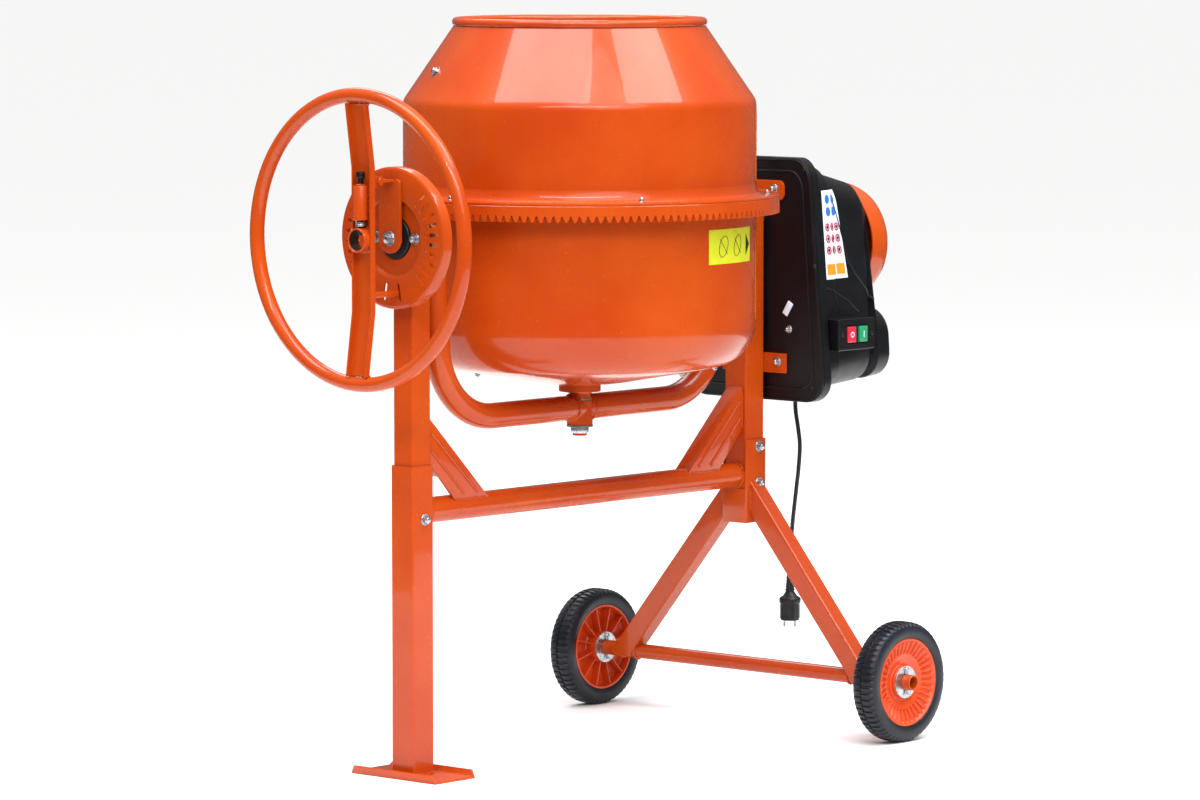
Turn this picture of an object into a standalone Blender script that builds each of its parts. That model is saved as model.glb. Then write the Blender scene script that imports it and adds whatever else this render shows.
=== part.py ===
"""Tilting-drum concrete mixer on a two-wheeled tube frame.

Units are metres and +Z is up.  X runs along the tilt axis, from the handwheel (-X) to the
motor housing (+X).  The near road wheel is at -Y.  The sizes below are counted from the drum
axis, X = Y = 0, and from the floor, Z = 0.  At the end everything moves by -ORIGIN_X, so that
the origin is under the middle of the machine.  Each object is one separate physical piece.
"""
import math

import bmesh
import bpy
from mathutils import Matrix, Vector

GAP = 0.0003                      # clearance left between pieces that touch
ORIGIN_X = 0.0895                 # middle of the machine's length, from the drum axis

# --- main axes and levels ---
TILT_Z = 0.910                    # height of the tilt axis
BAR_Z = 0.447                     # height of the crossbar's centre line
AXLE_Z = 0.106                    # height of the road axle, and the tyre radius
FRONT_POST_X = -0.4185
REAR_POST_X = 0.437
WHEEL_Y = 0.358                   # half the track of the road wheels

# --- frame stock ---
FRONT_POST = 0.045                # square tube, outside
REAR_POST = 0.050
SLEEVE = 0.0512                   # the leg sleeve that the front post slides in
TUBE_WALL = 0.0025
BAR_R = 0.022
POST_TOP = 0.950
FRONT_POST_LOW = 0.415
SLEEVE_TOP = 0.5262
REAR_POST_LOW = 0.369

# --- drum ---
DRUM_R = 0.305
SHEET = 0.002
SEAM_Z = 0.962                    # where the two drum halves meet
SHOULDER_Z = 1.126                # cylinder to cone
RIM_Z = 1.262                     # centre of the rolled rim bead
RIM_R = 0.212
BEAD_R = 0.008
BELLY_Z = 0.747                   # cylinder to bottom corner
DISH_R = 0.230
DISH_Z = 0.676
DISH_LOW_Z = 0.638

# --- ring gear and pinion: straight bevel pair, both cones meet on the tilt axis ---
RING_TEETH = 150
PINION_TEETH = 12
GEAR_R = 0.345                    # outer radius of the toothed ring
GEAR_IN_R = 0.327
GEAR_TOP = 0.966
TOOTH_TIP = 0.025                 # tip height above the tilt axis at the outer radius
TOOTH_ROOT = 0.036
PINION_TIP = 0.0322               # at the radius PINION_REF
PINION_ROOT = 0.0232
PINION_REF = 0.3375
PINION_X = (0.317, 0.3432)

# --- yoke ---
YOKE_R = 0.022
YOKE_WALL = 0.003
YOKE_X = 0.366
YOKE_BEND = 0.135
YOKE_Z = 0.596
YOKE_TOP = 0.929
HUB_R = 0.0225
SPINDLE_R = 0.0125

# --- lock disc, drive arm and handwheel ---
DISC_X = -0.466                   # front plane of the slotted annulus
DISC_R = 0.119
RECESS_R = 0.068
RECESS_DEPTH = 0.009
ARM_X = -0.4667                   # inner face of the drive arm
ARM_T = 0.005
WHEEL_X = -0.5435                 # plane of the handwheel rim
WHEEL_R = 0.2405                  # centre line radius
WHEEL_TUBE_R = 0.0125
SPOKE_BOW = 0.0155
SPOKE_FLAT = 0.122                # half the length of the level middle run
HINGE = (-0.512, 1.0065)          # X and Z of the handwheel's hinge pin
LATCH_X = -0.540
HUB_TUBE = (-0.5510, -0.5265, 0.0175, 0.0205)   # X ends, inner and outer radius

# --- drive housing ---
PLATE_X = 0.4680
PLATE_T = 0.004
PLATE_Y = 0.160
PLATE_Z = (0.580, 1.014)
PLATE_CORNER = 0.060
PULLEY_X = 0.512
PULLEY_R = 0.076
MOTOR_Z = 0.690
MOTOR_PULLEY_R = 0.0095
CAP_Z = 0.852
CAP_R = 0.108

# X, half width, low Z, high Z and corner radius of each station along the plastic cover
COVER_STATIONS = (
    (0.4725, 0.160, 0.580, 1.014, 0.060),
    (0.4900, 0.160, 0.580, 1.014, 0.060),
    (0.4960, 0.148, 0.592, 1.002, 0.056),
    (0.5350, 0.142, 0.597, 0.990, 0.056),
    (0.5450, 0.136, 0.600, 0.976, 0.056),
    (0.6400, 0.126, 0.606, 0.958, 0.056),
    (0.6650, 0.118, 0.608, 0.948, 0.056),
    (0.6655, 0.117, 0.609, 0.736, 0.050),
    (0.7000, 0.112, 0.612, 0.728, 0.045),
    (0.7150, 0.095, 0.626, 0.712, 0.035),
)

# --- cord: the route's own points, from the gland down to the plug's collar ---
CORD_R = 0.0038
CORD_X = 0.560
CORD_ROUTE = (
    (CORD_X, -0.0150, 0.5695),
    (CORD_X, -0.0165, 0.5500),
    (CORD_X + 0.001, -0.0215, 0.5200),
    (CORD_X + 0.002, -0.0245, 0.4900),
    (CORD_X + 0.001, -0.0225, 0.4500),
    (CORD_X, -0.0165, 0.4000),
    (CORD_X - 0.001, -0.0105, 0.3500),
    (CORD_X - 0.001, -0.0062, 0.3000),
    (CORD_X, -0.0042, 0.2700),
    (CORD_X, -0.0040, 0.2545),
)
PLUG_TURN = math.radians(-47.9)   # the pins' line, about Z


# ---------------------------------------------------------------- scene helpers
def clear_scene():
    for old in list(bpy.data.objects):
        bpy.data.objects.remove(old, do_unlink=True)


def make_collection(name):
    made = bpy.data.collections.new(name)
    bpy.context.scene.collection.children.link(made)
    return made


def make_material(name, colour, roughness, metallic=0.0):
    made = bpy.data.materials.new(name)
    made.use_nodes = True
    shader = made.node_tree.nodes["Principled BSDF"]
    shader.inputs["Base Color"].default_value = (*colour, 1.0)
    shader.inputs["Roughness"].default_value = roughness
    shader.inputs["Metallic"].default_value = metallic
    return made


clear_scene()
MIXER = make_collection("concrete_mixer")
CUTTERS = make_collection("cutters")
ENAMEL = make_material("orange_enamel", (0.72, 0.07, 0.010), 0.30)
ZINC = make_material("zinc_plate", (0.55, 0.56, 0.58), 0.35, 1.0)
STEEL = make_material("bare_steel", (0.45, 0.45, 0.46), 0.40, 1.0)
PLASTIC = make_material("black_plastic", (0.012, 0.012, 0.014), 0.45)
RUBBER = make_material("black_rubber", (0.014, 0.014, 0.016), 0.70)
WHEEL_PLASTIC = make_material("orange_plastic", (0.80, 0.10, 0.020), 0.40)
GREEN = make_material("green_button", (0.02, 0.30, 0.06), 0.40)
RED = make_material("red_button", (0.55, 0.01, 0.01), 0.40)

TURN = {
    "X": Matrix.Rotation(math.pi / 2, 4, "Y"),
    "Y": Matrix.Rotation(-math.pi / 2, 4, "X"),
    "Z": Matrix.Identity(4),
}


def place(name, mesh, material, matrix=None, smooth=30.0):
    """Link a mesh as the named piece."""
    made = bpy.data.objects.new(name, mesh)
    mesh.materials.clear()
    mesh.materials.append(material)
    MIXER.objects.link(made)
    if matrix is not None:
        made.matrix_world = matrix
    if smooth and mesh.polygons:
        mesh.shade_smooth()
        mesh.set_sharp_from_angle(angle=math.radians(smooth))
    return made


def mesh_from_bmesh(name, bm):
    mesh = bpy.data.meshes.new(name)
    bm.to_mesh(mesh)
    bm.free()
    return mesh


def box_mesh(name, low, high):
    bm = bmesh.new()
    size = [high[k] - low[k] for k in range(3)]
    middle = [(high[k] + low[k]) / 2 for k in range(3)]
    bmesh.ops.create_cube(bm, size=1.0)
    bmesh.ops.scale(bm, vec=size, verts=bm.verts)
    bmesh.ops.translate(bm, vec=middle, verts=bm.verts)
    return mesh_from_bmesh(name, bm)


def rod(radius, low, high):
    """Open profile of a solid round bar."""
    return [(0.0, high), (radius, high), (radius, low), (0.0, low)]


def ring(inner, outer, low, high):
    """Closed profile of a round tube."""
    return [(outer, high), (outer, low), (inner, low), (inner, high)]


def turned(name, profile, material, axis="Z", at=(0.0, 0.0, 0.0), steps=32, closed=False, more=()):
    """A turned piece: (radius, distance along the axis) points and a Screw modifier."""
    points = []
    edges = []
    for loop in (profile, *more):
        first = len(points)
        points += [(radius, 0.0, along) for radius, along in loop]
        edges += [(first + k, first + k + 1) for k in range(len(loop) - 1)]
        if closed:
            edges.append((len(points) - 1, first))
    mesh = bpy.data.meshes.new(name)
    mesh.from_pydata(points, edges, [])
    made = place(name, mesh, material, Matrix.Translation(at) @ TURN[axis])
    screw = made.modifiers.new("turn", "SCREW")
    screw.steps = steps
    screw.render_steps = steps
    screw.use_merge_vertices = True
    screw.merge_threshold = 0.00001
    return made


def flat_outline(name, loops, thickness, material, matrix):
    """A flat piece: closed outlines in its own XY plane, holes included, made thick."""
    data = bpy.data.curves.new(name, "CURVE")
    data.dimensions = "2D"
    data.fill_mode = "BOTH"
    data.extrude = thickness / 2
    for loop in loops:
        spline = data.splines.new("POLY")
        spline.points.add(len(loop) - 1)
        for point, (x, y) in zip(spline.points, loop):
            point.co = (x, y, 0.0, 1.0)
        spline.use_cyclic_u = True
    return curve_to_mesh(name, data, material, matrix)


def curve_to_mesh(name, data, material, matrix=None):
    """Evaluate a curve, weld its caps and place the mesh."""
    guide = bpy.data.objects.new(name + "_guide", data)
    MIXER.objects.link(guide)
    bpy.context.view_layer.update()
    graph = bpy.context.evaluated_depsgraph_get()
    mesh = bpy.data.meshes.new_from_object(guide.evaluated_get(graph))
    bpy.data.objects.remove(guide, do_unlink=True)
    bm = bmesh.new()
    bm.from_mesh(mesh)
    bmesh.ops.remove_doubles(bm, verts=bm.verts, dist=0.00001)
    bmesh.ops.recalc_face_normals(bm, faces=bm.faces)
    bm.to_mesh(mesh)
    bm.free()
    return place(name, mesh, material, matrix)


def tube_curve(name, points, radius, sides, caps, cyclic=False):
    data = bpy.data.curves.new(name, "CURVE")
    data.dimensions = "3D"
    data.bevel_depth = radius
    data.bevel_resolution = (sides - 4) // 2
    data.use_fill_caps = caps
    spline = data.splines.new("POLY")
    spline.points.add(len(points) - 1)
    for point, place_at in zip(spline.points, points):
        point.co = (*place_at, 1.0)
    spline.use_cyclic_u = cyclic
    return data


def solid_tube(name, points, radius, material, sides=8):
    return curve_to_mesh(name, tube_curve(name, points, radius, sides, True), material)


def open_tube(name, points, radius, wall, material, sides=12):
    """A bent tube with open ends: an open skin made thick inwards."""
    made = curve_to_mesh(name, tube_curve(name, points, radius, sides, False), material)
    solid = made.modifiers.new("wall", "SOLIDIFY")
    solid.thickness = wall
    solid.offset = -1.0
    return made


def rounded_rectangle(half_x, half_y, radius, steps=3):
    """Outline points, counter-clockwise."""
    points = []
    for k, (sx, sy) in enumerate(((1, 1), (-1, 1), (-1, -1), (1, -1))):
        for j in range(steps + 1):
            angle = math.pi / 2 * (k + j / steps)
            points.append((sx * (half_x - radius) + radius * math.cos(angle),
                           sy * (half_y - radius) + radius * math.sin(angle)))
    return points


def circle(radius, steps, x=0.0, y=0.0):
    return [(x + radius * math.cos(2 * math.pi * k / steps),
             y + radius * math.sin(2 * math.pi * k / steps)) for k in range(steps)]


def arc(centre, radius, start, stop, steps):
    """Points on an arc, angles in degrees."""
    points = []
    for k in range(steps + 1):
        angle = math.radians(start + (stop - start) * k / steps)
        points.append((centre[0] + radius * math.cos(angle), centre[1] + radius * math.sin(angle)))
    return points


def combine(piece, other, operation="DIFFERENCE"):
    """Cut a piece with another object, or weld the other object to it."""
    step = piece.modifiers.new(operation.lower(), "BOOLEAN")
    step.operation = operation
    step.solver = "EXACT"
    step.object = other
    for collection in list(other.users_collection):
        collection.objects.unlink(other)
    CUTTERS.objects.link(other)
    other.hide_render = True
    other.display_type = "WIRE"
    return piece


def drill(piece, radius, axis, at, low, high, steps=20):
    """A round hole along an axis; low and high are measured from the point at."""
    return combine(piece, turned(piece.name + "_drill", rod(radius, low, high), STEEL, axis, at, steps))


def square_tube(name, outer, wall, x, y, low, high, material):
    """An upright square tube with open ends."""
    half = outer / 2
    loops = [rounded_rectangle(half, half, 0.004, 2),
             rounded_rectangle(half - wall, half - wall, 0.002, 1)]
    place_at = Matrix.Translation((x, y, (low + high) / 2))
    return flat_outline(name, loops, high - low, material, place_at)


XZ_PLANE = Matrix.Rotation(math.pi / 2, 4, "X")       # outline x, y become world X, Z
YZ_PLANE = Matrix(((0, 0, 1, 0), (1, 0, 0, 0), (0, 1, 0, 0), (0, 0, 0, 1)))   # world Y, Z


def smooth_route(points, count):
    """Points spread evenly along a smooth curve through the given ones."""
    knots = [Vector(point) for point in points]
    dense = []
    for k in range(len(knots) - 1):
        before = knots[max(k - 1, 0)]
        start, end = knots[k], knots[k + 1]
        after = knots[min(k + 2, len(knots) - 1)]
        for j in range(20):
            t = j / 20
            dense.append(0.5 * (2 * start + (end - before) * t
                                + (2 * before - 5 * start + 4 * end - after) * t * t
                                + (3 * start - before - 3 * end + after) * t ** 3))
    dense.append(knots[-1])
    run = [0.0]
    for a, b in zip(dense, dense[1:]):
        run.append(run[-1] + (b - a).length)
    route = []
    k = 0
    for j in range(count):
        goal = run[-1] * j / (count - 1)
        while k < len(run) - 2 and run[k + 1] < goal:
            k += 1
        part = (goal - run[k]) / (run[k + 1] - run[k])
        route.append(tuple(dense[k].lerp(dense[k + 1], part)))
    return route


# ---------------------------------------------------------------- frame
def build_foot():
    """Foot plate with upturned edges, and the square sleeve welded on it."""
    low_x, high_x, half_y = -0.467, -0.370, 0.099
    plate, lip, lean, trim = 0.004, 0.014, 0.003, 0.009
    middle = (low_x + high_x) / 2
    half = (high_x - low_x) / 2
    outline = [(-half, 0.0), (half, 0.0), (half + lean, lip), (half + lean - plate, lip),
               (half - plate, plate), (-half + plate, plate), (-half - lean + plate, lip),
               (-half - lean, lip)]
    foot = flat_outline("foot_plate", [outline], 2 * half_y, ENAMEL,
                        Matrix.Translation((middle, 0.0, 0.0)) @ XZ_PLANE)
    for vertex in foot.data.vertices:
        if vertex.co.y > plate * 1.5:
            vertex.co.z -= math.copysign(trim, vertex.co.z)
    square_tube("leg_sleeve", SLEEVE, TUBE_WALL, FRONT_POST_X, 0.0, plate + GAP, SLEEVE_TOP, ENAMEL)


def build_posts():
    bore = 0.0200
    front = square_tube("front_post", FRONT_POST, TUBE_WALL, FRONT_POST_X, 0.0,
                        FRONT_POST_LOW, POST_TOP, ENAMEL)
    drill(front, bore, "X", (FRONT_POST_X, 0.0, TILT_Z), -0.03, 0.03)
    rear = square_tube("rear_post", REAR_POST, TUBE_WALL, REAR_POST_X, 0.0,
                       REAR_POST_LOW, POST_TOP, ENAMEL)
    drill(rear, 0.0232, "X", (REAR_POST_X, 0.0, TILT_Z), -0.035, 0.035)


def build_crossbar():
    start = FRONT_POST_X + SLEEVE / 2 + GAP
    end = REAR_POST_X - REAR_POST / 2 - GAP
    turned("crossbar", ring(BAR_R - TUBE_WALL, BAR_R, start, end), ENAMEL, "X",
           (0.0, 0.0, BAR_Z), 20, closed=True)


def build_gusset(name, face_x, side):
    """Pressed channel strut between a post's face and the crossbar, open towards +Y."""
    run_low, run_high = 0.055, 0.138
    top, heel = 0.606, 0.530
    base = BAR_Z + BAR_R - 0.012
    half_y, skin = 0.017, 0.004
    reach = (BAR_Z + BAR_R - base) * (run_high - run_low) / (top - heel)
    outer = [(0.0, top), (0.0, heel), (run_low + reach, base), (run_high + reach, base)]
    pocket = [(skin, top - 2.4 * skin), (skin, heel + skin), (run_low + skin, base - skin),
              (run_high - skin, base - skin)]
    matrix = Matrix.Translation((face_x, 0.0, 0.0)) @ Matrix.Diagonal((side, 1.0, 1.0, 1.0))
    strut = flat_outline(name, [outer], 2 * half_y, ENAMEL, XZ_PLANE)
    hollow = flat_outline(name + "_pocket", [pocket], 2 * half_y, ENAMEL,
                          Matrix.Translation((0.0, skin, 0.0)) @ XZ_PLANE)
    for made in (strut, hollow):
        made.data.transform(matrix @ made.matrix_world)
        made.matrix_world = Matrix.Identity(4)
        if side < 0:
            made.data.flip_normals()
    combine(strut, hollow)
    drill(strut, BAR_R + GAP, "X", (0.0, 0.0, BAR_Z), -0.5, 0.5, 20)


def build_leg_bracket():
    """Channel that clamps the wheel legs to the rear post."""
    low, high, notch = 0.362, 0.5116, 0.4235
    outer = REAR_POST + 0.0066
    bracket = square_tube("leg_bracket", outer, 0.0030, REAR_POST_X, 0.0, low, high, ENAMEL)
    edge = REAR_POST_X - outer / 2
    inside = REAR_POST / 2 + GAP
    cutter = place("leg_bracket_notch",
                   box_mesh("leg_bracket_notch", (edge - 0.01, -inside, notch),
                            (edge + 0.006, inside, high + 0.01)), STEEL)
    combine(bracket, cutter)


def build_axle():
    """Axle tube and the two slanted legs that it passes through."""
    axle_r, axle_half = 0.0135, 0.392
    turned("axle", ring(axle_r - TUBE_WALL, axle_r, -axle_half, axle_half), ENAMEL, "Y",
           (REAR_POST_X, 0.0, AXLE_Z), 20, closed=True)
    width, depth, wall = 0.038, 0.034, 0.0022
    top_y, top_z, foot_y, foot_z = 0.030, 0.405, 0.271, 0.117
    for name, side in (("axle_leg_near", -1.0), ("axle_leg_far", 1.0)):
        fall = (top_z - foot_z) / (foot_y - top_y)
        start = Vector((REAR_POST_X, 0.0, top_z + top_y * fall))
        end = Vector((REAR_POST_X, side * (foot_y + 0.02), foot_z - 0.02 * fall))
        along = (end - start).normalized()
        across = Vector((1.0, 0.0, 0.0))
        matrix = Matrix.Translation((start + end) / 2) @ Matrix(
            (across, along.cross(across), along)).transposed().to_4x4()
        loops = [rounded_rectangle(depth / 2, width / 2, 0.003, 1),
                 rounded_rectangle(depth / 2 - wall, width / 2 - wall, 0.0015, 1)]
        leg = flat_outline(name, loops, (end - start).length, ENAMEL, matrix)
        inner = REAR_POST / 2 + 0.0033 + GAP
        trims = (((0.38, -inner, 0.30), (0.50, inner, 0.60)),
                 ((0.38, -0.45, 0.0), (0.50, 0.45, AXLE_Z - 0.010)))
        for k, (low, high) in enumerate(trims):
            label = f"{name}_trim_{k}"
            combine(leg, place(label, box_mesh(label, low, high), STEEL))
        drill(leg, axle_r + GAP, "Y", (REAR_POST_X, 0.0, AXLE_Z), -0.45, 0.45, 20)


def build_road_wheel(label, side):
    """Moulded wheel disc and its solid rubber tyre."""
    half, seat = 0.024, 0.0770
    tyre = [(seat + GAP, -0.021), (seat + GAP, 0.021), (0.088, 0.0235), (0.098, 0.0220),
            (0.1045, 0.0165), (0.1060, 0.008), (0.1060, -0.008), (0.1045, -0.0165),
            (0.098, -0.0220), (0.088, -0.0235)]
    place_at = (REAR_POST_X, side * WHEEL_Y, AXLE_Z)
    turned("tyre_" + label, tyre, RUBBER, "Y", place_at, 24, closed=True)
    wheel = [(seat, 0.0215), (seat, -0.0215), (0.0735, -0.0215), (0.0720, -0.004), (0.030, -0.003),
             (0.028, -half), (0.0141, -half), (0.0141, half), (0.027, half), (0.029, 0.010),
             (0.048, 0.012), (0.0735, 0.0215)]
    if side < 0:
        wheel = [(r, -h) for r, h in wheel][::-1]
    turned("wheel_rim_" + label, wheel, WHEEL_PLASTIC, "Y", place_at, 24, closed=True)


# ---------------------------------------------------------------- bearings and lock disc
def build_front_bearing():
    face = FRONT_POST_X - FRONT_POST / 2
    flange = turned("bearing_flange", ring(0.0200, 0.062, face - 0.0125, face - GAP), ENAMEL, "X",
                    (0.0, 0.0, TILT_Z), 20, closed=True)
    for side in (-1.0, 1.0):
        drill(flange, 0.0048, "X", (face, side * 0.045, TILT_Z), -0.02, 0.01, 12)
    inner = face + FRONT_POST + GAP
    bush = [(0.030, inner + 0.005), (0.030, inner), (0.0197, inner), (0.0197, face - 0.0115),
            (0.0153, face - 0.0115), (0.0153, inner + 0.005)]
    turned("front_bearing", bush, STEEL, "X", (0.0, 0.0, TILT_Z), 20, closed=True)
    turned("bearing_seal", ring(0.0153, 0.0345, -0.4605, -0.4537), RUBBER, "X",
           (0.0, 0.0, TILT_Z), 20, closed=True)


def build_rear_bearing():
    low = REAR_POST_X - REAR_POST / 2
    bush = [(0.0229, low + 0.0545), (0.0229, low - GAP), (0.031, low - GAP), (0.031, low - 0.006),
            (0.0203, low - 0.006), (0.0203, low + 0.0545)]
    turned("rear_bearing", bush, STEEL, "X", (0.0, 0.0, TILT_Z), 20, closed=True)


def slot_cutter():
    """Ten radial slots a side, and two at the bottom, as one cutting object."""
    bm = bmesh.new()
    angles = [base + step for base in (0, 180) for step in range(-45, 46, 10)] + [260, 280]
    for angle in angles:
        made = bmesh.ops.create_cube(bm, size=1.0)["verts"]
        bmesh.ops.scale(bm, vec=(0.02, 0.029, 0.0052), verts=made)
        bmesh.ops.translate(bm, vec=(DISC_X, 0.0915, 0.0), verts=made)
        bmesh.ops.rotate(bm, cent=(0, 0, 0), matrix=Matrix.Rotation(math.radians(angle), 3, "X"),
                         verts=made)
    bmesh.ops.translate(bm, vec=(0.0, 0.0, TILT_Z), verts=bm.verts)
    return place("lock_disc_slots", mesh_from_bmesh("lock_disc_slots", bm), STEEL)


def build_lock_disc():
    """Pressed dish with a slotted annulus and a flange turned back towards the post."""
    t = 0.003
    x = DISC_X
    deep = x + RECESS_DEPTH
    outline = [(0.036, deep), (RECESS_R - 0.006, deep), (RECESS_R, x), (DISC_R - 0.004, x),
               (DISC_R, x + 0.004), (DISC_R, x + 0.021), (DISC_R - t, x + 0.021),
               (DISC_R - t, x + 0.004 + t / 2), (DISC_R - 0.0055, x + t), (RECESS_R + 0.002, x + t),
               (RECESS_R - 0.004, deep + t), (0.036, deep + t)]
    disc = turned("lock_disc", outline[::-1], ENAMEL, "X", (0.0, 0.0, TILT_Z), 36, closed=True)
    combine(disc, slot_cutter())
    for label, side in (("near", -1.0), ("far", 1.0)):
        at = (0.0, side * 0.045, TILT_Z)
        drill(disc, 0.0049, "X", at, x - 0.01, deep + 0.02, 10)
        head = deep - GAP
        bolt = [(0.0, deep + 0.012), (0.0045, deep + 0.012), (0.0045, head), (0.0085, head),
                (0.0085, head - 0.0065), (0.0, head - 0.0065)]
        turned("disc_bolt_" + label, bolt, ZINC, "X", at, 6)


# ---------------------------------------------------------------- yoke
def yoke_route():
    """Centre line of one arm, from the hub out and up to the trunnion."""
    lean = 0.008
    centre_x = YOKE_X - lean - YOKE_BEND
    points = [(0.0, YOKE_Z), (centre_x, YOKE_Z)]
    points += arc((centre_x, YOKE_Z + YOKE_BEND), YOKE_BEND, -90, 0, 6)[1:]
    points += [(YOKE_X, TILT_Z - 0.06), (YOKE_X, YOKE_TOP)]
    return points


def build_yoke():
    for name, side in (("yoke_arm_front", -1.0), ("yoke_arm_rear", 1.0)):
        arm = open_tube(name, [(side * x, 0.0, z) for x, z in yoke_route()], YOKE_R, YOKE_WALL,
                        ENAMEL, 12)
        drill(arm, HUB_R + GAP, "Z", (0.0, 0.0, YOKE_Z), -0.05, 0.05, 20)
        if side > 0:
            drill(arm, 0.0118, "X", (YOKE_X, 0.0, TILT_Z), -0.04, 0.04, 16)
    turned("yoke_hub", ring(0.0180, HUB_R, 0.5665, 0.6085), ENAMEL, steps=20, closed=True)
    turned("hub_bearing", ring(SPINDLE_R + GAP, 0.0177, 0.569, 0.606), STEEL, steps=20, closed=True)
    outer = -YOKE_X - YOKE_R - GAP
    front = turned("trunnion_front", rod(0.0150, ARM_X + GAP, outer), STEEL, "X",
                   (0.0, 0.0, TILT_Z), 20)
    drill(front, 0.0062, "X", (0.0, 0.0, TILT_Z), ARM_X - 0.01, ARM_X + 0.016, 12)
    turned("trunnion_rear", ring(0.0116, 0.0200, YOKE_X + YOKE_R + GAP, 0.492), STEEL, "X",
           (0.0, 0.0, TILT_Z), 20, closed=True)


def build_drive_arm():
    """Strap bolted to the front trunnion; its top carries the handwheel's hinge eye."""
    hinge_x, hinge_z = HINGE
    half, lobe = 0.0235, 0.0255
    top = hinge_z + 0.0025 - TILT_Z
    outline = arc((0.0, 0.0), lobe, 180 + 12, 360 - 12, 10) + [(half, top), (-half, top)]
    strap = flat_outline("drive_arm", [outline, circle(0.0062, 12)], ARM_T, ENAMEL,
                         Matrix.Translation((ARM_X - ARM_T / 2, 0.0, TILT_Z)) @ YZ_PLANE)
    wide = 0.0115
    tab = place("drive_arm_tab", box_mesh("drive_arm_tab", (hinge_x + 0.002, -wide, hinge_z - 0.0025),
                                          (ARM_X - 0.001, wide, hinge_z + 0.0025)), ENAMEL)
    eye = turned("drive_arm_eye", rod(0.0080, -wide, wide), ENAMEL, "Y", (hinge_x, 0.0, hinge_z), 16)
    combine(strap, tab, "UNION")
    combine(strap, eye, "UNION")
    drill(strap, 0.0043, "Y", (hinge_x, 0.0, hinge_z), -0.03, 0.03, 12)
    turned("hinge_pin", rod(0.0040, -0.021, 0.021), ZINC, "Y", (hinge_x, 0.0, hinge_z), 12)
    head = ARM_X - ARM_T - GAP
    bolt = [(0.0, ARM_X + 0.014), (0.0060, ARM_X + 0.014), (0.0060, head), (0.0110, head),
            (0.0110, head - 0.008), (0.0, head - 0.008)]
    turned("arm_bolt", bolt, ZINC, "X", (0.0, 0.0, TILT_Z), 6)


# ---------------------------------------------------------------- handwheel
def web_x(z):
    """Front-to-back place of the spoke's web: level past the hub, then straight out to the rim."""
    past = max(abs(z - TILT_Z) - SPOKE_FLAT, 0.0) / (WHEEL_R - WHEEL_TUBE_R - SPOKE_FLAT)
    return WHEEL_X + SPOKE_BOW * (1.0 - past)


def build_handwheel():
    """Tubular rim, and the spoke weldment: web, flanges, ears, hub tube and latch sleeve."""
    at = (0.0, 0.0, TILT_Z)
    outer = [(WHEEL_R + WHEEL_TUBE_R * math.cos(a), WHEEL_X + WHEEL_TUBE_R * math.sin(a))
             for a in (-2 * math.pi * k / 8 for k in range(8))]
    bore = WHEEL_TUBE_R - 0.0025
    inner = [(WHEEL_R + bore * math.cos(a), WHEEL_X + bore * math.sin(a))
             for a in (2 * math.pi * k / 5 for k in range(5))]
    rim = turned("handwheel_rim", outer, ENAMEL, "X", at, 36, closed=True, more=(inner,))
    drill(rim, 0.003, "Z", (WHEEL_X, 0.0, TILT_Z - WHEEL_R), 0.0, 0.03, 8)

    reach = WHEEL_R - WHEEL_TUBE_R - 0.0026
    half, skin, lip = 0.0225, 0.003, 0.012
    section = [(0.0, half), (-lip, half), (-lip, half - skin), (-skin, half - skin),
               (-skin, -half + skin), (-lip, -half + skin), (-lip, -half), (0.0, -half)]
    bm = bmesh.new()
    rings = []
    for level in (-reach, -SPOKE_FLAT, SPOKE_FLAT, reach):
        z = TILT_Z + level
        rings.append([bm.verts.new((web_x(z) + skin / 2 + dx, y, z)) for dx, y in section])
    for low, high in zip(rings, rings[1:]):
        for j in range(len(section)):
            n = (j + 1) % len(section)
            bm.faces.new((low[j], low[n], high[n], high[j]))
    bm.faces.new(rings[0])
    bm.faces.new(rings[-1])
    bmesh.ops.recalc_face_normals(bm, faces=bm.faces)
    spoke = place("handwheel_spoke", mesh_from_bmesh("handwheel_spoke", bm), ENAMEL)

    hinge_x, hinge_z = HINGE
    ear_outline = [(0.008, -0.008), (0.008, 0.008), (-0.020, 0.012), (-0.020, -0.012)]
    for side in (-1.0, 1.0):
        ear = flat_outline("spoke_ear", [ear_outline], 0.004, ENAMEL,
                           Matrix.Translation((hinge_x, side * 0.0145, hinge_z)) @ XZ_PLANE)
        combine(spoke, ear, "UNION")
    drill(spoke, 0.0043, "Y", (hinge_x, 0.0, hinge_z), -0.03, 0.03, 12)
    start, end, tube_in, tube_out = HUB_TUBE
    combine(spoke, turned("spoke_hub", rod(tube_out, start, end), ENAMEL, "X", at, 18), "UNION")
    sleeve = [(0.0, 1.0035), (0.0085, 1.0035), (0.0085, 1.0005), (0.0125, 1.0005), (0.0125, 0.943),
              (0.0, 0.943)]
    combine(spoke, turned("spoke_sleeve", sleeve, ENAMEL, "Z", (LATCH_X, 0.0, 0.0), 14), "UNION")
    drill(spoke, tube_in, "X", at, start - 0.02, end + 0.02, 16)
    drill(spoke, 0.0064, "Z", (LATCH_X, 0.0, 0.0), 0.915, 1.02, 12)


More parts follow.
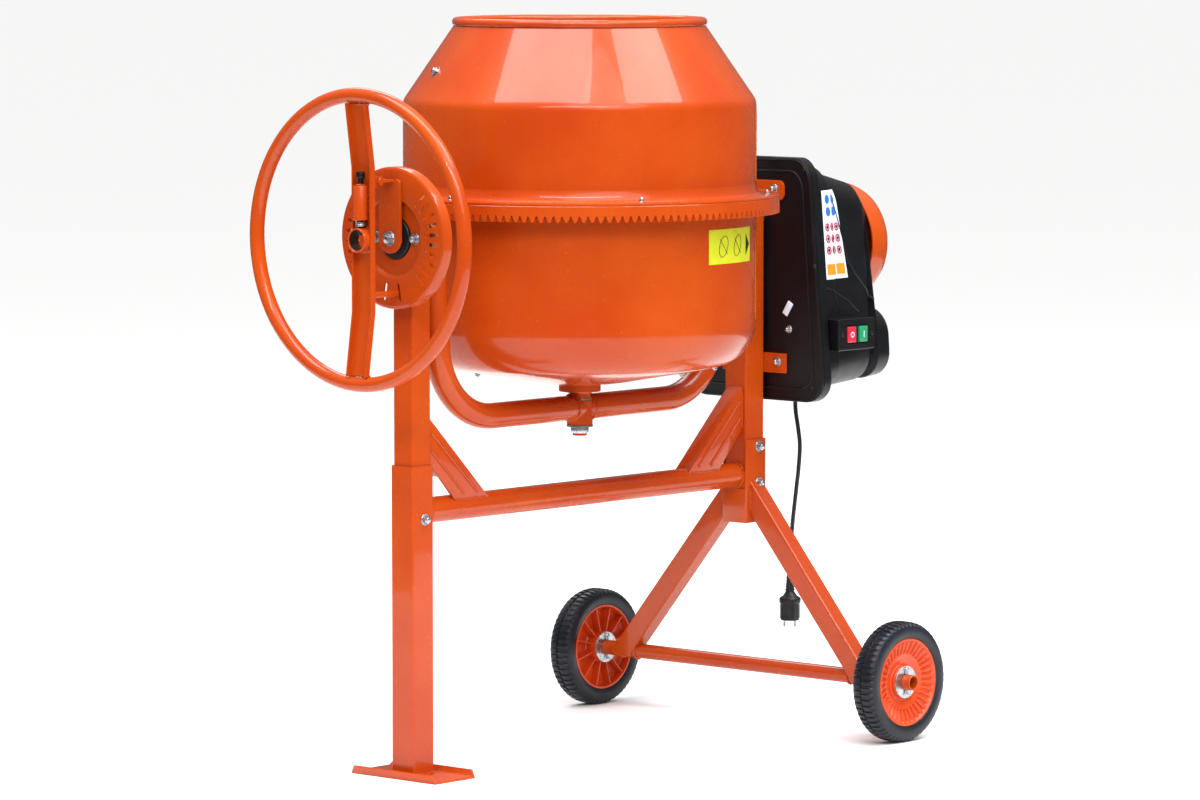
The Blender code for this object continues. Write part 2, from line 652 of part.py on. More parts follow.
def build_latch():
    at = (LATCH_X, 0.0, 0.0)
    plunger = [(0.0, 1.0240), (0.0054, 1.0240), (0.0067, 1.0220), (0.0067, 1.0130), (0.0060, 1.0120),
               (0.0060, 0.9200), (0.0045, 0.9180), (0.0, 0.9180)]
    turned("latch_plunger", plunger, PLASTIC, "Z", at, 12)
    low, high, turns, per_turn = 0.9320, 0.9418, 3, 10
    coil = []
    for k in range(turns * per_turn + 1):
        angle = 2 * math.pi * k / per_turn
        coil.append((LATCH_X + 0.0077 * math.cos(angle), 0.0077 * math.sin(angle),
                     low + (high - low) * k / (turns * per_turn)))
    solid_tube("latch_spring", coil, 0.0009, STEEL, 6)

    z = TILT_Z - 0.0915
    spread = 0.0915 * math.tan(math.radians(10))
    back = web_x(z) + 0.0015 + GAP
    tip = DISC_X - 0.0008
    outline = [(back, -spread - 0.0016), (tip, -spread - 0.0016), (tip, -spread + 0.0016),
               (back + 0.004, -spread + 0.0016), (back + 0.004, spread - 0.0016),
               (tip, spread - 0.0016), (tip, spread + 0.0016), (back, spread + 0.0016)]
    flat_outline("lock_lug", [outline], 0.010, ENAMEL, Matrix.Translation((0.0, 0.0, z)))


# ---------------------------------------------------------------- drum
def skin_profile(outline, thickness):
    """Closed profile of a sheet-metal skin: the outline, and its offset towards the axis."""
    inner = []
    for k, point in enumerate(outline):
        before = Vector(outline[max(k - 1, 0)])
        after = Vector(outline[min(k + 1, len(outline) - 1)])
        along = (after - before).normalized()
        inner.append((point[0] + along.y * thickness, point[1] - along.x * thickness))
    return list(outline) + inner[::-1]


def build_drum():
    corner = arc((DRUM_R - 0.078, BELLY_Z), 0.078, 0, -72, 5)
    bottom = [(DRUM_R, SEAM_Z)] + corner + [(0.130, 0.650), (0.060, DISH_LOW_Z), (0.0130, DISH_LOW_Z)]
    turned("lower_drum", skin_profile(bottom, SHEET), ENAMEL, steps=36, closed=True)
    bead = arc((RIM_R, RIM_Z), BEAD_R, 180, -50, 5)
    top = [bead[-1], (DRUM_R - 0.004, SHOULDER_Z + 0.006), (DRUM_R, SHOULDER_Z - 0.006),
           (DRUM_R, SEAM_Z + GAP)]
    turned("upper_drum", bead[:-1] + skin_profile(top, SHEET), ENAMEL, steps=36, closed=True)


def build_ring_gear():
    """Toothed ring: the teeth point down and lean to the common apex on the tilt axis."""
    stations = 2 * RING_TEETH
    bm = bmesh.new()
    rings = []
    for k in range(stations):
        angle = 2 * math.pi * k / stations
        rise = TOOTH_ROOT if k % 2 == 0 else TOOTH_TIP
        section = [(DRUM_R + 0.0008, GEAR_TOP), (GEAR_R, GEAR_TOP - 0.005),
                   (GEAR_R, TILT_Z + rise), (GEAR_IN_R, TILT_Z + rise * GEAR_IN_R / GEAR_R)]
        rings.append([bm.verts.new((r * math.cos(angle), r * math.sin(angle), z)) for r, z in section])
    for k in range(stations):
        here, there = rings[k], rings[(k + 1) % stations]
        for j in range(4):
            n = (j + 1) % 4
            bm.faces.new((here[j], here[n], there[n], there[j]))
    bmesh.ops.recalc_face_normals(bm, faces=bm.faces)
    place("ring_gear", mesh_from_bmesh("ring_gear", bm), ENAMEL)


def build_paddles():
    """Two mixing blades inside the drum, half a turn apart."""
    low, high, wall = 0.668, 1.165, DRUM_R - SHEET - 0.008
    outline = [(0.160, low), (0.225, low + 0.012), (wall, 0.770), (wall, 1.105), (0.262, high),
               (0.236, high), (0.225, 1.080), (0.230, 0.800), (0.180, 0.725), (0.130, 0.690)]
    for label, turn in (("a", 140.0), ("b", 320.0)):
        matrix = Matrix.Rotation(math.radians(turn), 4, "Z") @ XZ_PLANE
        flat_outline("mixing_paddle_" + label, [outline], 0.004, STEEL, matrix)


def build_spindle():
    flange_top = DISH_LOW_Z - GAP
    spindle = [(0.0, DISH_LOW_Z + 0.010), (SPINDLE_R, DISH_LOW_Z + 0.010), (SPINDLE_R, flange_top),
               (0.0365, flange_top), (0.0365, 0.624), (0.0200, 0.6225), (0.0200, 0.6100),
               (SPINDLE_R, 0.6095), (SPINDLE_R, 0.5470), (0.0, 0.5470)]
    turned("drum_spindle", spindle, STEEL, steps=20)
    low, high = 0.5510, 0.5662
    loops = [circle(0.0185, 6), circle(SPINDLE_R + GAP, 20)]
    flat_outline("spindle_nut", loops, high - low, ZINC, Matrix.Translation((0.0, 0.0, (low + high) / 2)))


# ---------------------------------------------------------------- drive housing
def build_housing_brackets():
    post_back = REAR_POST_X + REAR_POST / 2
    for name, low, high, half in (("housing_bracket_upper", 0.937, 0.973, 0.068),
                                  ("housing_bracket_lower", 0.6295, 0.665, 0.074)):
        mesh = box_mesh(name, (post_back + GAP, -half, low), (PLATE_X - GAP, half, high))
        place(name, mesh, ENAMEL)


def build_back_plate():
    half_z = (PLATE_Z[1] - PLATE_Z[0]) / 2
    middle = (PLATE_Z[1] + PLATE_Z[0]) / 2
    loops = [rounded_rectangle(PLATE_Y, half_z, PLATE_CORNER, 5),
             circle(0.026, 20, 0.0, TILT_Z - middle)]
    flat_outline("back_plate", loops, PLATE_T, PLASTIC,
                 Matrix.Translation((PLATE_X + PLATE_T / 2, 0.0, middle)) @ YZ_PLANE)


def cover_bmesh(grow=0.0, closed=False):
    """Skin of the plastic cover, lofted through its stations."""
    bm = bmesh.new()
    rings = []
    for x, half, low, high, radius in COVER_STATIONS:
        outline = rounded_rectangle(half + grow, (high - low) / 2 + grow, radius, 3)
        rings.append([bm.verts.new((x, y, z + (high + low) / 2)) for y, z in outline])
    for here, there in zip(rings, rings[1:]):
        for j in range(len(here)):
            n = (j + 1) % len(here)
            bm.faces.new((here[j], here[n], there[n], there[j]))
    bm.faces.new(rings[-1])
    if closed:
        bm.faces.new(rings[0])
    bmesh.ops.recalc_face_normals(bm, faces=bm.faces)
    return bm


def build_cover():
    mesh = mesh_from_bmesh("housing_cover", cover_bmesh())
    cover = place("housing_cover", mesh, PLASTIC)
    wall = cover.modifiers.new("wall", "SOLIDIFY")
    wall.thickness = 0.0035
    wall.offset = -1.0
    drill(cover, 0.0065, "Z", (CORD_X, -0.015, 0.600), -0.02, 0.02, 12)
    base, end = 0.6658, 0.7350
    cap = [(0.0, end), (0.030, end), (0.065, end - 0.005), (0.090, end - 0.014),
           (CAP_R - 0.004, end - 0.028), (CAP_R, end - 0.042), (CAP_R, base),
           (CAP_R - 0.004, base), (CAP_R - 0.004, end - 0.044), (CAP_R - 0.009, end - 0.031),
           (0.087, end - 0.018), (0.063, end - 0.009), (0.030, end - 0.004), (0.0, end - 0.004)]
    dome = turned("motor_cap", cap, ENAMEL, "X", (0.0, 0.0, CAP_Z), 24)
    block = place("motor_cap_trim", box_mesh("motor_cap_trim", (0.6, -0.2, 0.5), (0.8, 0.2, 0.7372)), STEEL)
    combine(dome, block)


def build_drive():
    """Motor, belt drive and pinion."""
    at_motor = (0.0, 0.0, MOTOR_Z)
    at_tilt = (0.0, 0.0, TILT_Z)
    motor = [(0.0, 0.660), (0.030, 0.660), (0.050, 0.655), (0.050, 0.545), (0.030, 0.540),
             (0.030, 0.532), (0.0056, 0.532), (0.0056, 0.4960), (0.0, 0.4960)]
    turned("motor", motor, STEEL, "X", at_motor, 16)
    x = PULLEY_X
    small = [(0.0135, x + 0.012), (0.0135, x + 0.009), (MOTOR_PULLEY_R, x + 0.008),
             (MOTOR_PULLEY_R, x - 0.008), (0.0135, x - 0.009), (0.0135, x - 0.012),
             (0.0060, x - 0.012), (0.0060, x + 0.012)]
    turned("motor_pulley", small, ZINC, "X", at_motor, 16, closed=True)
    inside = PULLEY_R - 0.008
    large = [(PULLEY_R, x + 0.010), (PULLEY_R, x - 0.010), (inside, x - 0.010), (inside, x - 0.003),
             (0.020, x - 0.003), (0.020, x - 0.012), (0.0103, x - 0.012), (0.0103, x + 0.012),
             (0.020, x + 0.012), (0.020, x + 0.003), (inside, x + 0.003), (inside, x + 0.010)]
    turned("large_pulley", large, PLASTIC, "X", at_tilt, 20, closed=True)
    turned("pinion_shaft", rod(0.0100, PINION_X[0] - 0.004, x + 0.016), STEEL, "X", at_tilt, 16)

    distance = TILT_Z - MOTOR_Z
    loops = []
    for skin in (0.0045, 0.0006):
        big, little = PULLEY_R + skin, MOTOR_PULLEY_R + skin
        swing = math.degrees(math.asin((big - little) / distance))
        loops.append(arc((0.0, 0.0), big, -swing, 180 + swing, 20)
                     + arc((0.0, -distance), little, 180 + swing, 360 - swing, 8))
    flat_outline("drive_belt", loops, 0.0100, RUBBER,
                 Matrix.Translation((x, 0.0, TILT_Z)) @ YZ_PLANE)


def build_pinion():
    """Bevel pinion: slim teeth that stay clear of the ring's at every phase."""
    bm = bmesh.new()
    rings = []
    for x in PINION_X:
        scale = x / PINION_REF
        points = []
        for tooth in range(PINION_TEETH):
            middle = math.pi / 2 + 2 * math.pi * tooth / PINION_TEETH
            for radius, half in ((PINION_ROOT, -0.0029), (PINION_TIP, -0.0010), (PINION_TIP, 0.0010),
                                 (PINION_ROOT, 0.0029)):
                angle = middle + half / radius
                points.append((x, radius * scale * math.cos(angle),
                               TILT_Z + radius * scale * math.sin(angle)))
        rings.append([bm.verts.new(point) for point in points])
    count = len(rings[0])
    for j in range(count):
        n = (j + 1) % count
        bm.faces.new((rings[0][j], rings[0][n], rings[1][n], rings[1][j]))
    bm.faces.new(rings[0])
    bm.faces.new(rings[1])
    bmesh.ops.recalc_face_normals(bm, faces=bm.faces)
    pinion = place("drive_pinion", mesh_from_bmesh("drive_pinion", bm), STEEL)
    drill(pinion, 0.0103, "X", (0.0, 0.0, TILT_Z), 0.30, 0.36, 16)


def build_switch():
    """Switch box on the cover's near side, with a start and a stop button."""
    low, high = (0.4975, -0.1690, 0.672), (0.5975, -0.110, 0.728)
    box = place("switch_box", box_mesh("switch_box", low, high), PLASTIC)
    skin = place("switch_box_seat", mesh_from_bmesh("switch_box_seat", cover_bmesh(GAP, True)), STEEL)
    combine(box, skin)
    z = (low[2] + high[2]) / 2
    for name, x, material in (("stop_button", 0.5315, RED), ("start_button", 0.5635, GREEN)):
        half_x, half_z, travel = 0.0110, 0.0150, 0.003
        pocket = place(name + "_pocket",
                       box_mesh(name + "_pocket", (x - half_x - GAP, low[1] - 0.01, z - half_z - GAP),
                                (x + half_x + GAP, low[1] + 0.010, z + half_z + GAP)), STEEL)
        combine(box, pocket)
        place(name, box_mesh(name, (x - half_x, low[1] - 0.0035, z - half_z),
                             (x + half_x, low[1] + 0.010 - travel - 2 * GAP, z + half_z)), material)


def build_cord():
    exit_x, exit_y, exit_z = CORD_ROUTE[0]
    gland = [(0.0110, 0.5965), (0.0110, 0.5870), (0.0085, 0.5850), (0.0060, exit_z + GAP),
             (0.0, exit_z + GAP)]
    gland = [(0.0, 0.5965)] + gland
    turned("cable_gland", gland, RUBBER, "Z", (exit_x, exit_y, 0.0), 16)
    route = smooth_route(CORD_ROUTE, 26)
    solid_tube("power_cord", route, CORD_R, RUBBER, 8)

    end_x, end_y, end_z = CORD_ROUTE[-1]
    collar = end_z - GAP
    profile = [(0.0, collar), (0.0060, collar), (0.0095, collar - 0.034), (0.0150, collar - 0.040),
               (0.0195, collar - 0.042), (0.0195, collar - 0.050), (0.0182, collar - 0.052),
               (0.0175, collar - 0.082), (0.0, collar - 0.082)]
    plug = turned("power_plug", profile, RUBBER, "Z", (end_x, end_y, 0.0), 16)
    for side in (-1.0, 1.0):
        along = side * 0.0095
        at = (end_x + along * math.cos(PLUG_TURN), end_y + along * math.sin(PLUG_TURN), 0.0)
        pin = turned("plug_pin", rod(0.0024, collar - 0.0945, collar - 0.070), ZINC, "Z", at, 8)
        combine(plug, pin, "UNION")


def main():
    build_foot()
    build_posts()
    build_crossbar()
    build_gusset("gusset_front", FRONT_POST_X + FRONT_POST / 2 + GAP, 1.0)
    build_gusset("gusset_rear", REAR_POST_X - REAR_POST / 2 - GAP, -1.0)
    build_leg_bracket()
    build_axle()
    build_road_wheel("near", -1.0)
    build_road_wheel("far", 1.0)
    build_front_bearing()
    build_rear_bearing()
    build_lock_disc()
    build_yoke()
    build_drive_arm()
    build_handwheel()
    build_latch()
    build_drum()
    build_ring_gear()
    build_paddles()
    build_spindle()
    build_housing_brackets()
    build_back_plate()
    build_cover()
    build_drive()
    build_pinion()
    build_switch()
    build_cord()
    shift = Matrix.Translation((-ORIGIN_X, 0.0, 0.0))
    for made in (*MIXER.objects, *CUTTERS.objects):
        made.matrix_world = shift @ made.matrix_world


main()
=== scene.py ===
"""Tilting-drum concrete mixer: the visible pieces built around the packed frame.

Lengths are metres.  The drum axis is at X = DRUM_X, the tilt axis runs along X at height TILT_Z,
the near road wheel is at -Y and the floor is Z = 0.
"""

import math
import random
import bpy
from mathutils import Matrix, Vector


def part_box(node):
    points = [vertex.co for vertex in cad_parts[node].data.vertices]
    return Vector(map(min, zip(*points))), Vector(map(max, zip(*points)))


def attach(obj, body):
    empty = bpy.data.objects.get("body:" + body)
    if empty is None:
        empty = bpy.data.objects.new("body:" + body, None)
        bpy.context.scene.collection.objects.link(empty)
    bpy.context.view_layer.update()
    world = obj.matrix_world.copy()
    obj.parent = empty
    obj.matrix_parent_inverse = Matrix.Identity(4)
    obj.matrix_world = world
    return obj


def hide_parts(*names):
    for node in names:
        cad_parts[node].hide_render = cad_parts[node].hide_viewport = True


bl_info = {
    "name": "Tilting-drum concrete mixer",
    "version": (1, 0, 0),
    "blender": (4, 5, 0),
    "location": "View3D > Sidebar > Mixer",
    "description": "Builds the finished pieces of a tilting-drum concrete mixer",
    "category": "Object",
}

import bmesh
import bpy
from bpy.props import FloatProperty, FloatVectorProperty, IntProperty, PointerProperty
from mathutils import Matrix, Vector

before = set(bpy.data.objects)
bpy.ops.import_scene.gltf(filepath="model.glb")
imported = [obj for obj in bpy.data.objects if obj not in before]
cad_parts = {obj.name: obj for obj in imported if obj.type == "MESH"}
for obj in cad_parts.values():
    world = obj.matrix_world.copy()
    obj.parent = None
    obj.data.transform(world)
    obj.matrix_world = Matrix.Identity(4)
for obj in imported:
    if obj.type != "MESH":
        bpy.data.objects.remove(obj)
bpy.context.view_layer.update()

# --- axes and levels, counted from the drum axis; place() moves every piece by DRUM_X ---
DRUM_X = -0.0895
TILT_Z = 0.910
BAR_Z = 0.447
AXLE_Z = 0.106
FRONT_POST_X = -0.4185
REAR_POST_X = 0.437
WHEEL_Y = 0.358
POST_TOP = 0.950
SLEEVE_TOP = 0.5262
YOKE_Z = 0.596
YOKE_X = 0.366
DISC_X = -0.466
WHEEL_X = -0.5435
WHEEL_R = 0.2405
HINGE_X, HINGE_Z = -0.512, 1.0065
LATCH_X = -0.540
PLATE_X = 0.468
MOTOR_Z = 0.690
CAP_Z = 0.852
SEAM_Z = 0.962
SHOULDER_Z = 1.126
RIM_Z = 1.262
RIM_R = 0.212

# X, half width, low Z, high Z and corner radius along the plastic cover
COVER_STATIONS = (
    (0.4725, 0.160, 0.580, 1.014, 0.044),
    (0.4900, 0.160, 0.580, 1.014, 0.044),
    (0.4960, 0.148, 0.592, 1.002, 0.056),
    (0.5350, 0.142, 0.597, 0.996, 0.056),
    (0.5450, 0.136, 0.600, 0.986, 0.056),
    (0.6400, 0.125, 0.606, 0.964, 0.056),
    (0.6600, 0.114, 0.608, 0.950, 0.054),
    (0.6655, 0.126, 0.609, 0.742, 0.050),
    (0.7000, 0.123, 0.612, 0.736, 0.048),
    (0.7150, 0.107, 0.626, 0.722, 0.038),
)
CORD_X = 0.560
CORD_ROUTE = (
    (CORD_X, -0.0150, 0.5695),
    (CORD_X, -0.0165, 0.5500),
    (CORD_X + 0.001, -0.0215, 0.5200),
    (CORD_X + 0.002, -0.0245, 0.4900),
    (CORD_X + 0.001, -0.0225, 0.4500),
    (CORD_X, -0.0165, 0.4000),
    (CORD_X - 0.001, -0.0105, 0.3500),
    (CORD_X - 0.001, -0.0062, 0.3000),
    (CORD_X, -0.0042, 0.2700),
    (CORD_X, -0.0040, 0.2545),
)
PLUG_TURN = math.radians(-47.9)
TURN = {
    "X": Matrix.Rotation(math.pi / 2, 4, "Y"),
    "Y": Matrix.Rotation(-math.pi / 2, 4, "X"),
    "Z": Matrix.Identity(4),
}
MADE = {}                          # materials made so far, by name


def linear(code):
    """Linear colour of an sRGB hex value."""
    parts = [int(code[k:k + 2], 16) / 255 for k in (1, 3, 5)]
    return [p / 12.92 if p <= 0.04045 else ((p + 0.055) / 1.055) ** 2.4 for p in parts]


# ---------------------------------------------------------------- properties
def colour(name, code, words):
    return FloatVectorProperty(name=name, description=words, subtype="COLOR", size=3,
                               min=0.0, max=1.0, default=linear(code))


class MixerColours(bpy.types.PropertyGroup):
    enamel: colour("Enamel", "#B5460D", "Orange stoving enamel on the steel pieces")
    enamel_deep: colour("Enamel, thick", "#A83708", "The same enamel where the coat is thicker")
    wheel: colour("Wheel plastic", "#CC4410", "Moulded plastic of the road wheels")
    plastic: colour("Cover plastic", "#050608", "Black plastic of the housing")
    tyre: colour("Tyre", "#0B0E15", "Solid rubber of the tyres")
    zinc: colour("Zinc", "#C4C8CC", "Zinc plating on the bolts and washers")
    sticker: colour("Sticker", "#CDD222", "Yellow film of the direction sticker")
    label: colour("Label", "#DDE5F2", "White film of the housing label")


class MixerSizes(bpy.types.PropertyGroup):
    drum_radius: FloatProperty(
        name="Drum radius", description="Outside radius of the drum's cylinder", unit="LENGTH",
        default=(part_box("lower_drum")[1].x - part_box("lower_drum")[0].x) / 2)
    sheet: FloatProperty(name="Sheet", description="Thickness of the drum's sheet",
                         unit="LENGTH", default=0.002)
    teeth: IntProperty(name="Ring teeth", description="Teeth on the drive ring", default=150)
    tread_blocks: IntProperty(name="Tread blocks", description="Blocks round each tyre",
                              default=58)
    corner: FloatProperty(name="Tube corner", description="Outside corner radius of the square tube",
                          unit="LENGTH", default=0.004)


# ---------------------------------------------------------------- materials
def add_node(tree, kind, inputs=None, **settings):
    """Add a node with its settings; an input is a value, or a (node, output) pair to link."""
    made = tree.nodes.new(kind)
    for key, value in settings.items():
        setattr(made, key, value)
    for key, value in (inputs or {}).items():
        if isinstance(value, tuple) and len(value) == 2 and isinstance(value[0], bpy.types.Node):
            tree.links.new(value[0].outputs[value[1]], made.inputs[key])
        else:
            made.inputs[key].default_value = value
    return made


def start_material(name, **sockets):
    """A Principled material; sockets are set on the shader itself."""
    made = bpy.data.materials.new(name)
    made.use_nodes = True
    tree = made.node_tree
    shader = tree.nodes["Principled BSDF"]
    for key, value in sockets.items():
        key = key.replace("_", " ").title().replace("Ior", "IOR")
        shader.inputs[key].default_value = value
    MADE[name] = made
    return made, tree, shader


def grain(tree, shader, scale, distance, strength, detail=2.0, stretch=(1.0, 1.0, 1.0)):
    """Bump from noise; scale is features per metre, distance the height in metres."""
    place_at = add_node(tree, "ShaderNodeTexCoord")
    turned = add_node(tree, "ShaderNodeMapping", {"Vector": (place_at, "Object"), "Scale": stretch})
    noise = add_node(tree, "ShaderNodeTexNoise",
                     {"Vector": (turned, "Vector"), "Scale": scale, "Detail": detail})
    bump = add_node(tree, "ShaderNodeBump",
                    {"Height": (noise, "Fac"), "Distance": distance, "Strength": strength})
    tree.links.new(bump.outputs["Normal"], shader.inputs["Normal"])
    return turned


def patches(tree, at, scale, low, high, detail=3.0):
    """Noise spread between two values."""
    noise = add_node(tree, "ShaderNodeTexNoise",
                     {"Vector": (at, "Vector"), "Scale": scale, "Detail": detail})
    return add_node(tree, "ShaderNodeMapRange",
                    {"Value": (noise, "Fac"), "From Min": 0.3, "From Max": 0.7,
                     "To Min": low, "To Max": high})


def blend_colours(tree, factor, first, second):
    return add_node(tree, "ShaderNodeMix",
                    {"Factor": factor, "A": (*first, 1.0), "B": (*second, 1.0)}, data_type="RGBA")


def make_enamel(colours):
    """Stoving enamel, sprayed on steel: a clear wet gloss over faint orange peel."""
    made, tree, shader = start_material("orange_enamel", coat_weight=0.35, coat_roughness=0.03, specular_ior_level=0.16,
                                        coat_ior=1.5)
    # orange peel is about 3 mm across and a few microns high
    at = grain(tree, shader, 320.0, 0.0003, 0.05)
    shade = patches(tree, at, 5.0, 0.0, 1.0)
    mixed = add_node(tree, "ShaderNodeMix", {"Factor": (shade, "Result")}, data_type="RGBA")
    mixed.inputs[6].default_value = (*colours.enamel, 1.0)
    mixed.inputs[7].default_value = (*colours.enamel_deep, 1.0)
    gloss = patches(tree, at, 22.0, 0.22, 0.30)
    # a few specks of dust, drawn 1.5 mm across so that they show
    specks = add_node(tree, "ShaderNodeTexVoronoi", {"Vector": (at, "Vector"), "Scale": 38.0})
    dust = add_node(tree, "ShaderNodeMapRange",
                    {"Value": (specks, "Distance"), "From Min": 0.02, "From Max": 0.05,
                     "To Min": 0.35, "To Max": 0.0})
    dusty = add_node(tree, "ShaderNodeMix", {"Factor": (dust, "Result")}, data_type="RGBA")
    tree.links.new(mixed.outputs[2], dusty.inputs[6])
    dusty.inputs[7].default_value = (*linear("#E8A07C"), 1.0)
    tree.links.new(dusty.outputs[2], shader.inputs["Base Color"])
    tree.links.new(gloss.outputs["Result"], shader.inputs["Roughness"])


def make_metals(colours):
    """Zinc plate on fasteners, and bare machined or rolled steel."""
    made, tree, shader = start_material("zinc_plate", metallic=1.0)
    # plating leaves 2 mm clouds of brighter and duller zinc
    at = grain(tree, shader, 900.0, 0.0002, 0.15)
    shade = patches(tree, at, 260.0, 0.0, 1.0)
    mixed = add_node(tree, "ShaderNodeMix", {"Factor": (shade, "Result")}, data_type="RGBA")
    mixed.inputs[6].default_value = (*colours.zinc, 1.0)
    mixed.inputs[7].default_value = (*linear("#9BA0A6"), 1.0)
    tree.links.new(mixed.outputs[2], shader.inputs["Base Color"])
    gloss = patches(tree, at, 300.0, 0.22, 0.42)
    tree.links.new(gloss.outputs["Result"], shader.inputs["Roughness"])

    made, tree, shader = start_material("bare_steel", metallic=1.0)
    # turning marks run round the piece: fine lines, drawn 0.5 mm apart
    at = grain(tree, shader, 500.0, 0.0002, 0.20, stretch=(1.0, 1.0, 6.0))
    shade = patches(tree, at, 40.0, 0.0, 1.0)
    mixed = add_node(tree, "ShaderNodeMix", {"Factor": (shade, "Result")}, data_type="RGBA")
    mixed.inputs[6].default_value = (*linear("#8E8C88"), 1.0)
    mixed.inputs[7].default_value = (*linear("#6B655E"), 1.0)
    tree.links.new(mixed.outputs[2], shader.inputs["Base Color"])
    gloss = patches(tree, at, 60.0, 0.30, 0.50)
    tree.links.new(gloss.outputs["Result"], shader.inputs["Roughness"])


def make_dark_steel(colours):
    """Uncoated tube bore with grease in it."""
    made, tree, shader = start_material("dark_steel_and_bore_shade", metallic=0.6, roughness=0.55)
    at = grain(tree, shader, 300.0, 0.0003, 0.25)
    shade = patches(tree, at, 90.0, 0.0, 1.0)
    mixed = add_node(tree, "ShaderNodeMix", {"Factor": (shade, "Result")}, data_type="RGBA")
    mixed.inputs[6].default_value = (*linear("#3A3426"), 1.0)
    mixed.inputs[7].default_value = (*linear("#221C14"), 1.0)
    tree.links.new(mixed.outputs[2], shader.inputs["Base Color"])


def make_plastics(colours):
    """Moulded plastics: the grained black housing and the orange wheels."""
    made, tree, shader = start_material("black_polypropylene", specular_ior_level=0.28)
    # spark-eroded mould grain, about 1 mm
    at = grain(tree, shader, 1100.0, 0.0004, 0.35)
    shade = patches(tree, at, 9.0, 0.0, 1.0)
    mixed = add_node(tree, "ShaderNodeMix", {"Factor": (shade, "Result")}, data_type="RGBA")
    mixed.inputs[6].default_value = (*colours.plastic, 1.0)
    mixed.inputs[7].default_value = (*linear("#0A0C12"), 1.0)
    tree.links.new(mixed.outputs[2], shader.inputs["Base Color"])
    gloss = patches(tree, at, 30.0, 0.34, 0.46)
    tree.links.new(gloss.outputs["Result"], shader.inputs["Roughness"])

    made, tree, shader = start_material("orange_wheel_plastic", subsurface_weight=0.05,
                                        subsurface_scale=0.004)
    at = grain(tree, shader, 500.0, 0.0003, 0.15)
    shade = patches(tree, at, 20.0, 0.0, 1.0)
    mixed = add_node(tree, "ShaderNodeMix", {"Factor": (shade, "Result")}, data_type="RGBA")
    mixed.inputs[6].default_value = (*colours.wheel, 1.0)
    mixed.inputs[7].default_value = (*linear("#BE3A0C"), 1.0)
    tree.links.new(mixed.outputs[2], shader.inputs["Base Color"])
    gloss = patches(tree, at, 40.0, 0.30, 0.42)
    tree.links.new(gloss.outputs["Result"], shader.inputs["Roughness"])

    for name, code in (("green_button_plastic", "#1F8A5A"), ("red_button_plastic", "#D0203A")):
        made, tree, shader = start_material(name, roughness=0.28, coat_weight=0.3)
        shader.inputs["Base Color"].default_value = (*linear(code), 1.0)
        grain(tree, shader, 900.0, 0.0002, 0.10)


def make_rubbers(colours):
    """Solid tyre rubber with mould bloom, and the soft PVC of the cord."""
    made, tree, shader = start_material("tyre_rubber", sheen_weight=0.10, sheen_roughness=0.4, specular_ior_level=0.35)
    shader.inputs["Sheen Tint"].default_value = (*linear("#8FA3C4"), 1.0)
    # rubber skin has a 1.5 mm pebble
    at = grain(tree, shader, 650.0, 0.0005, 0.30)
    shade = patches(tree, at, 14.0, 0.0, 1.0)
    mixed = add_node(tree, "ShaderNodeMix", {"Factor": (shade, "Result")}, data_type="RGBA")
    mixed.inputs[6].default_value = (*colours.tyre, 1.0)
    mixed.inputs[7].default_value = (*linear("#121722"), 1.0)
    tree.links.new(mixed.outputs[2], shader.inputs["Base Color"])
    gloss = patches(tree, at, 25.0, 0.30, 0.46)
    tree.links.new(gloss.outputs["Result"], shader.inputs["Roughness"])

    made, tree, shader = start_material("black_pvc", roughness=0.42, specular_ior_level=0.35)
    at = grain(tree, shader, 800.0, 0.0002, 0.20)
    shade = patches(tree, at, 30.0, 0.0, 1.0)
    mixed = add_node(tree, "ShaderNodeMix", {"Factor": (shade, "Result")}, data_type="RGBA")
    mixed.inputs[6].default_value = (*linear("#101114"), 1.0)
    mixed.inputs[7].default_value = (*linear("#1B1D21"), 1.0)
    tree.links.new(mixed.outputs[2], shader.inputs["Base Color"])


def make_films(colours):
    """Printed vinyl films, smooth with a slight ripple, and the bare line beside the seam."""
    for name, value in (("yellow_film", tuple(colours.sticker)), ("white_film", tuple(colours.label)),
                        ("black_ink", linear("#16160F")), ("blue_ink", linear("#2C6FC0")),
                        ("red_ink", linear("#C0344A")), ("amber_ink", linear("#D9901C")),
                        ("seam_side_line", linear("#A8641E"))):
        made, tree, shader = start_material(name, roughness=0.34)
        at = grain(tree, shader, 120.0, 0.0003, 0.10)
        shade = patches(tree, at, 60.0, 0.0, 1.0)
        mixed = add_node(tree, "ShaderNodeMix", {"Factor": (shade, "Result")}, data_type="RGBA")
        mixed.inputs[6].default_value = (*value, 1.0)
        mixed.inputs[7].default_value = (*(0.88 * part for part in value), 1.0)
        tree.links.new(mixed.outputs[2], shader.inputs["Base Color"])


# ---------------------------------------------------------------- shapes
def settle(bm):
    """Merge doubles and turn the faces outwards."""
    bmesh.ops.remove_doubles(bm, verts=bm.verts, dist=1e-6)
    bmesh.ops.recalc_face_normals(bm, faces=bm.faces)
    return bm


def lathe(profile, steps=64, closed=False):
    """Spin (radius, height) points round Z."""
    bm = bmesh.new()
    verts = [bm.verts.new((radius, 0.0, height)) for radius, height in profile]
    pairs = list(zip(verts, verts[1:])) + ([(verts[-1], verts[0])] if closed else [])
    edges = [bm.edges.new(pair) for pair in pairs]
    bmesh.ops.spin(bm, geom=verts + edges, cent=(0, 0, 0), axis=(0, 0, 1), dvec=(0, 0, 0),
                   angle=2 * math.pi, steps=steps, use_merge=True)
    return settle(bm)


def rod(radius, low, high, chamfer=0.0):
    """Profile of a round bar, with small chamfers at its ends."""
    c = chamfer
    if not c:
        return [(0.0, high), (radius, high), (radius, low), (0.0, low)]
    return [(0.0, high), (radius - c, high), (radius, high - c), (radius, low + c),
            (radius - c, low), (0.0, low)]


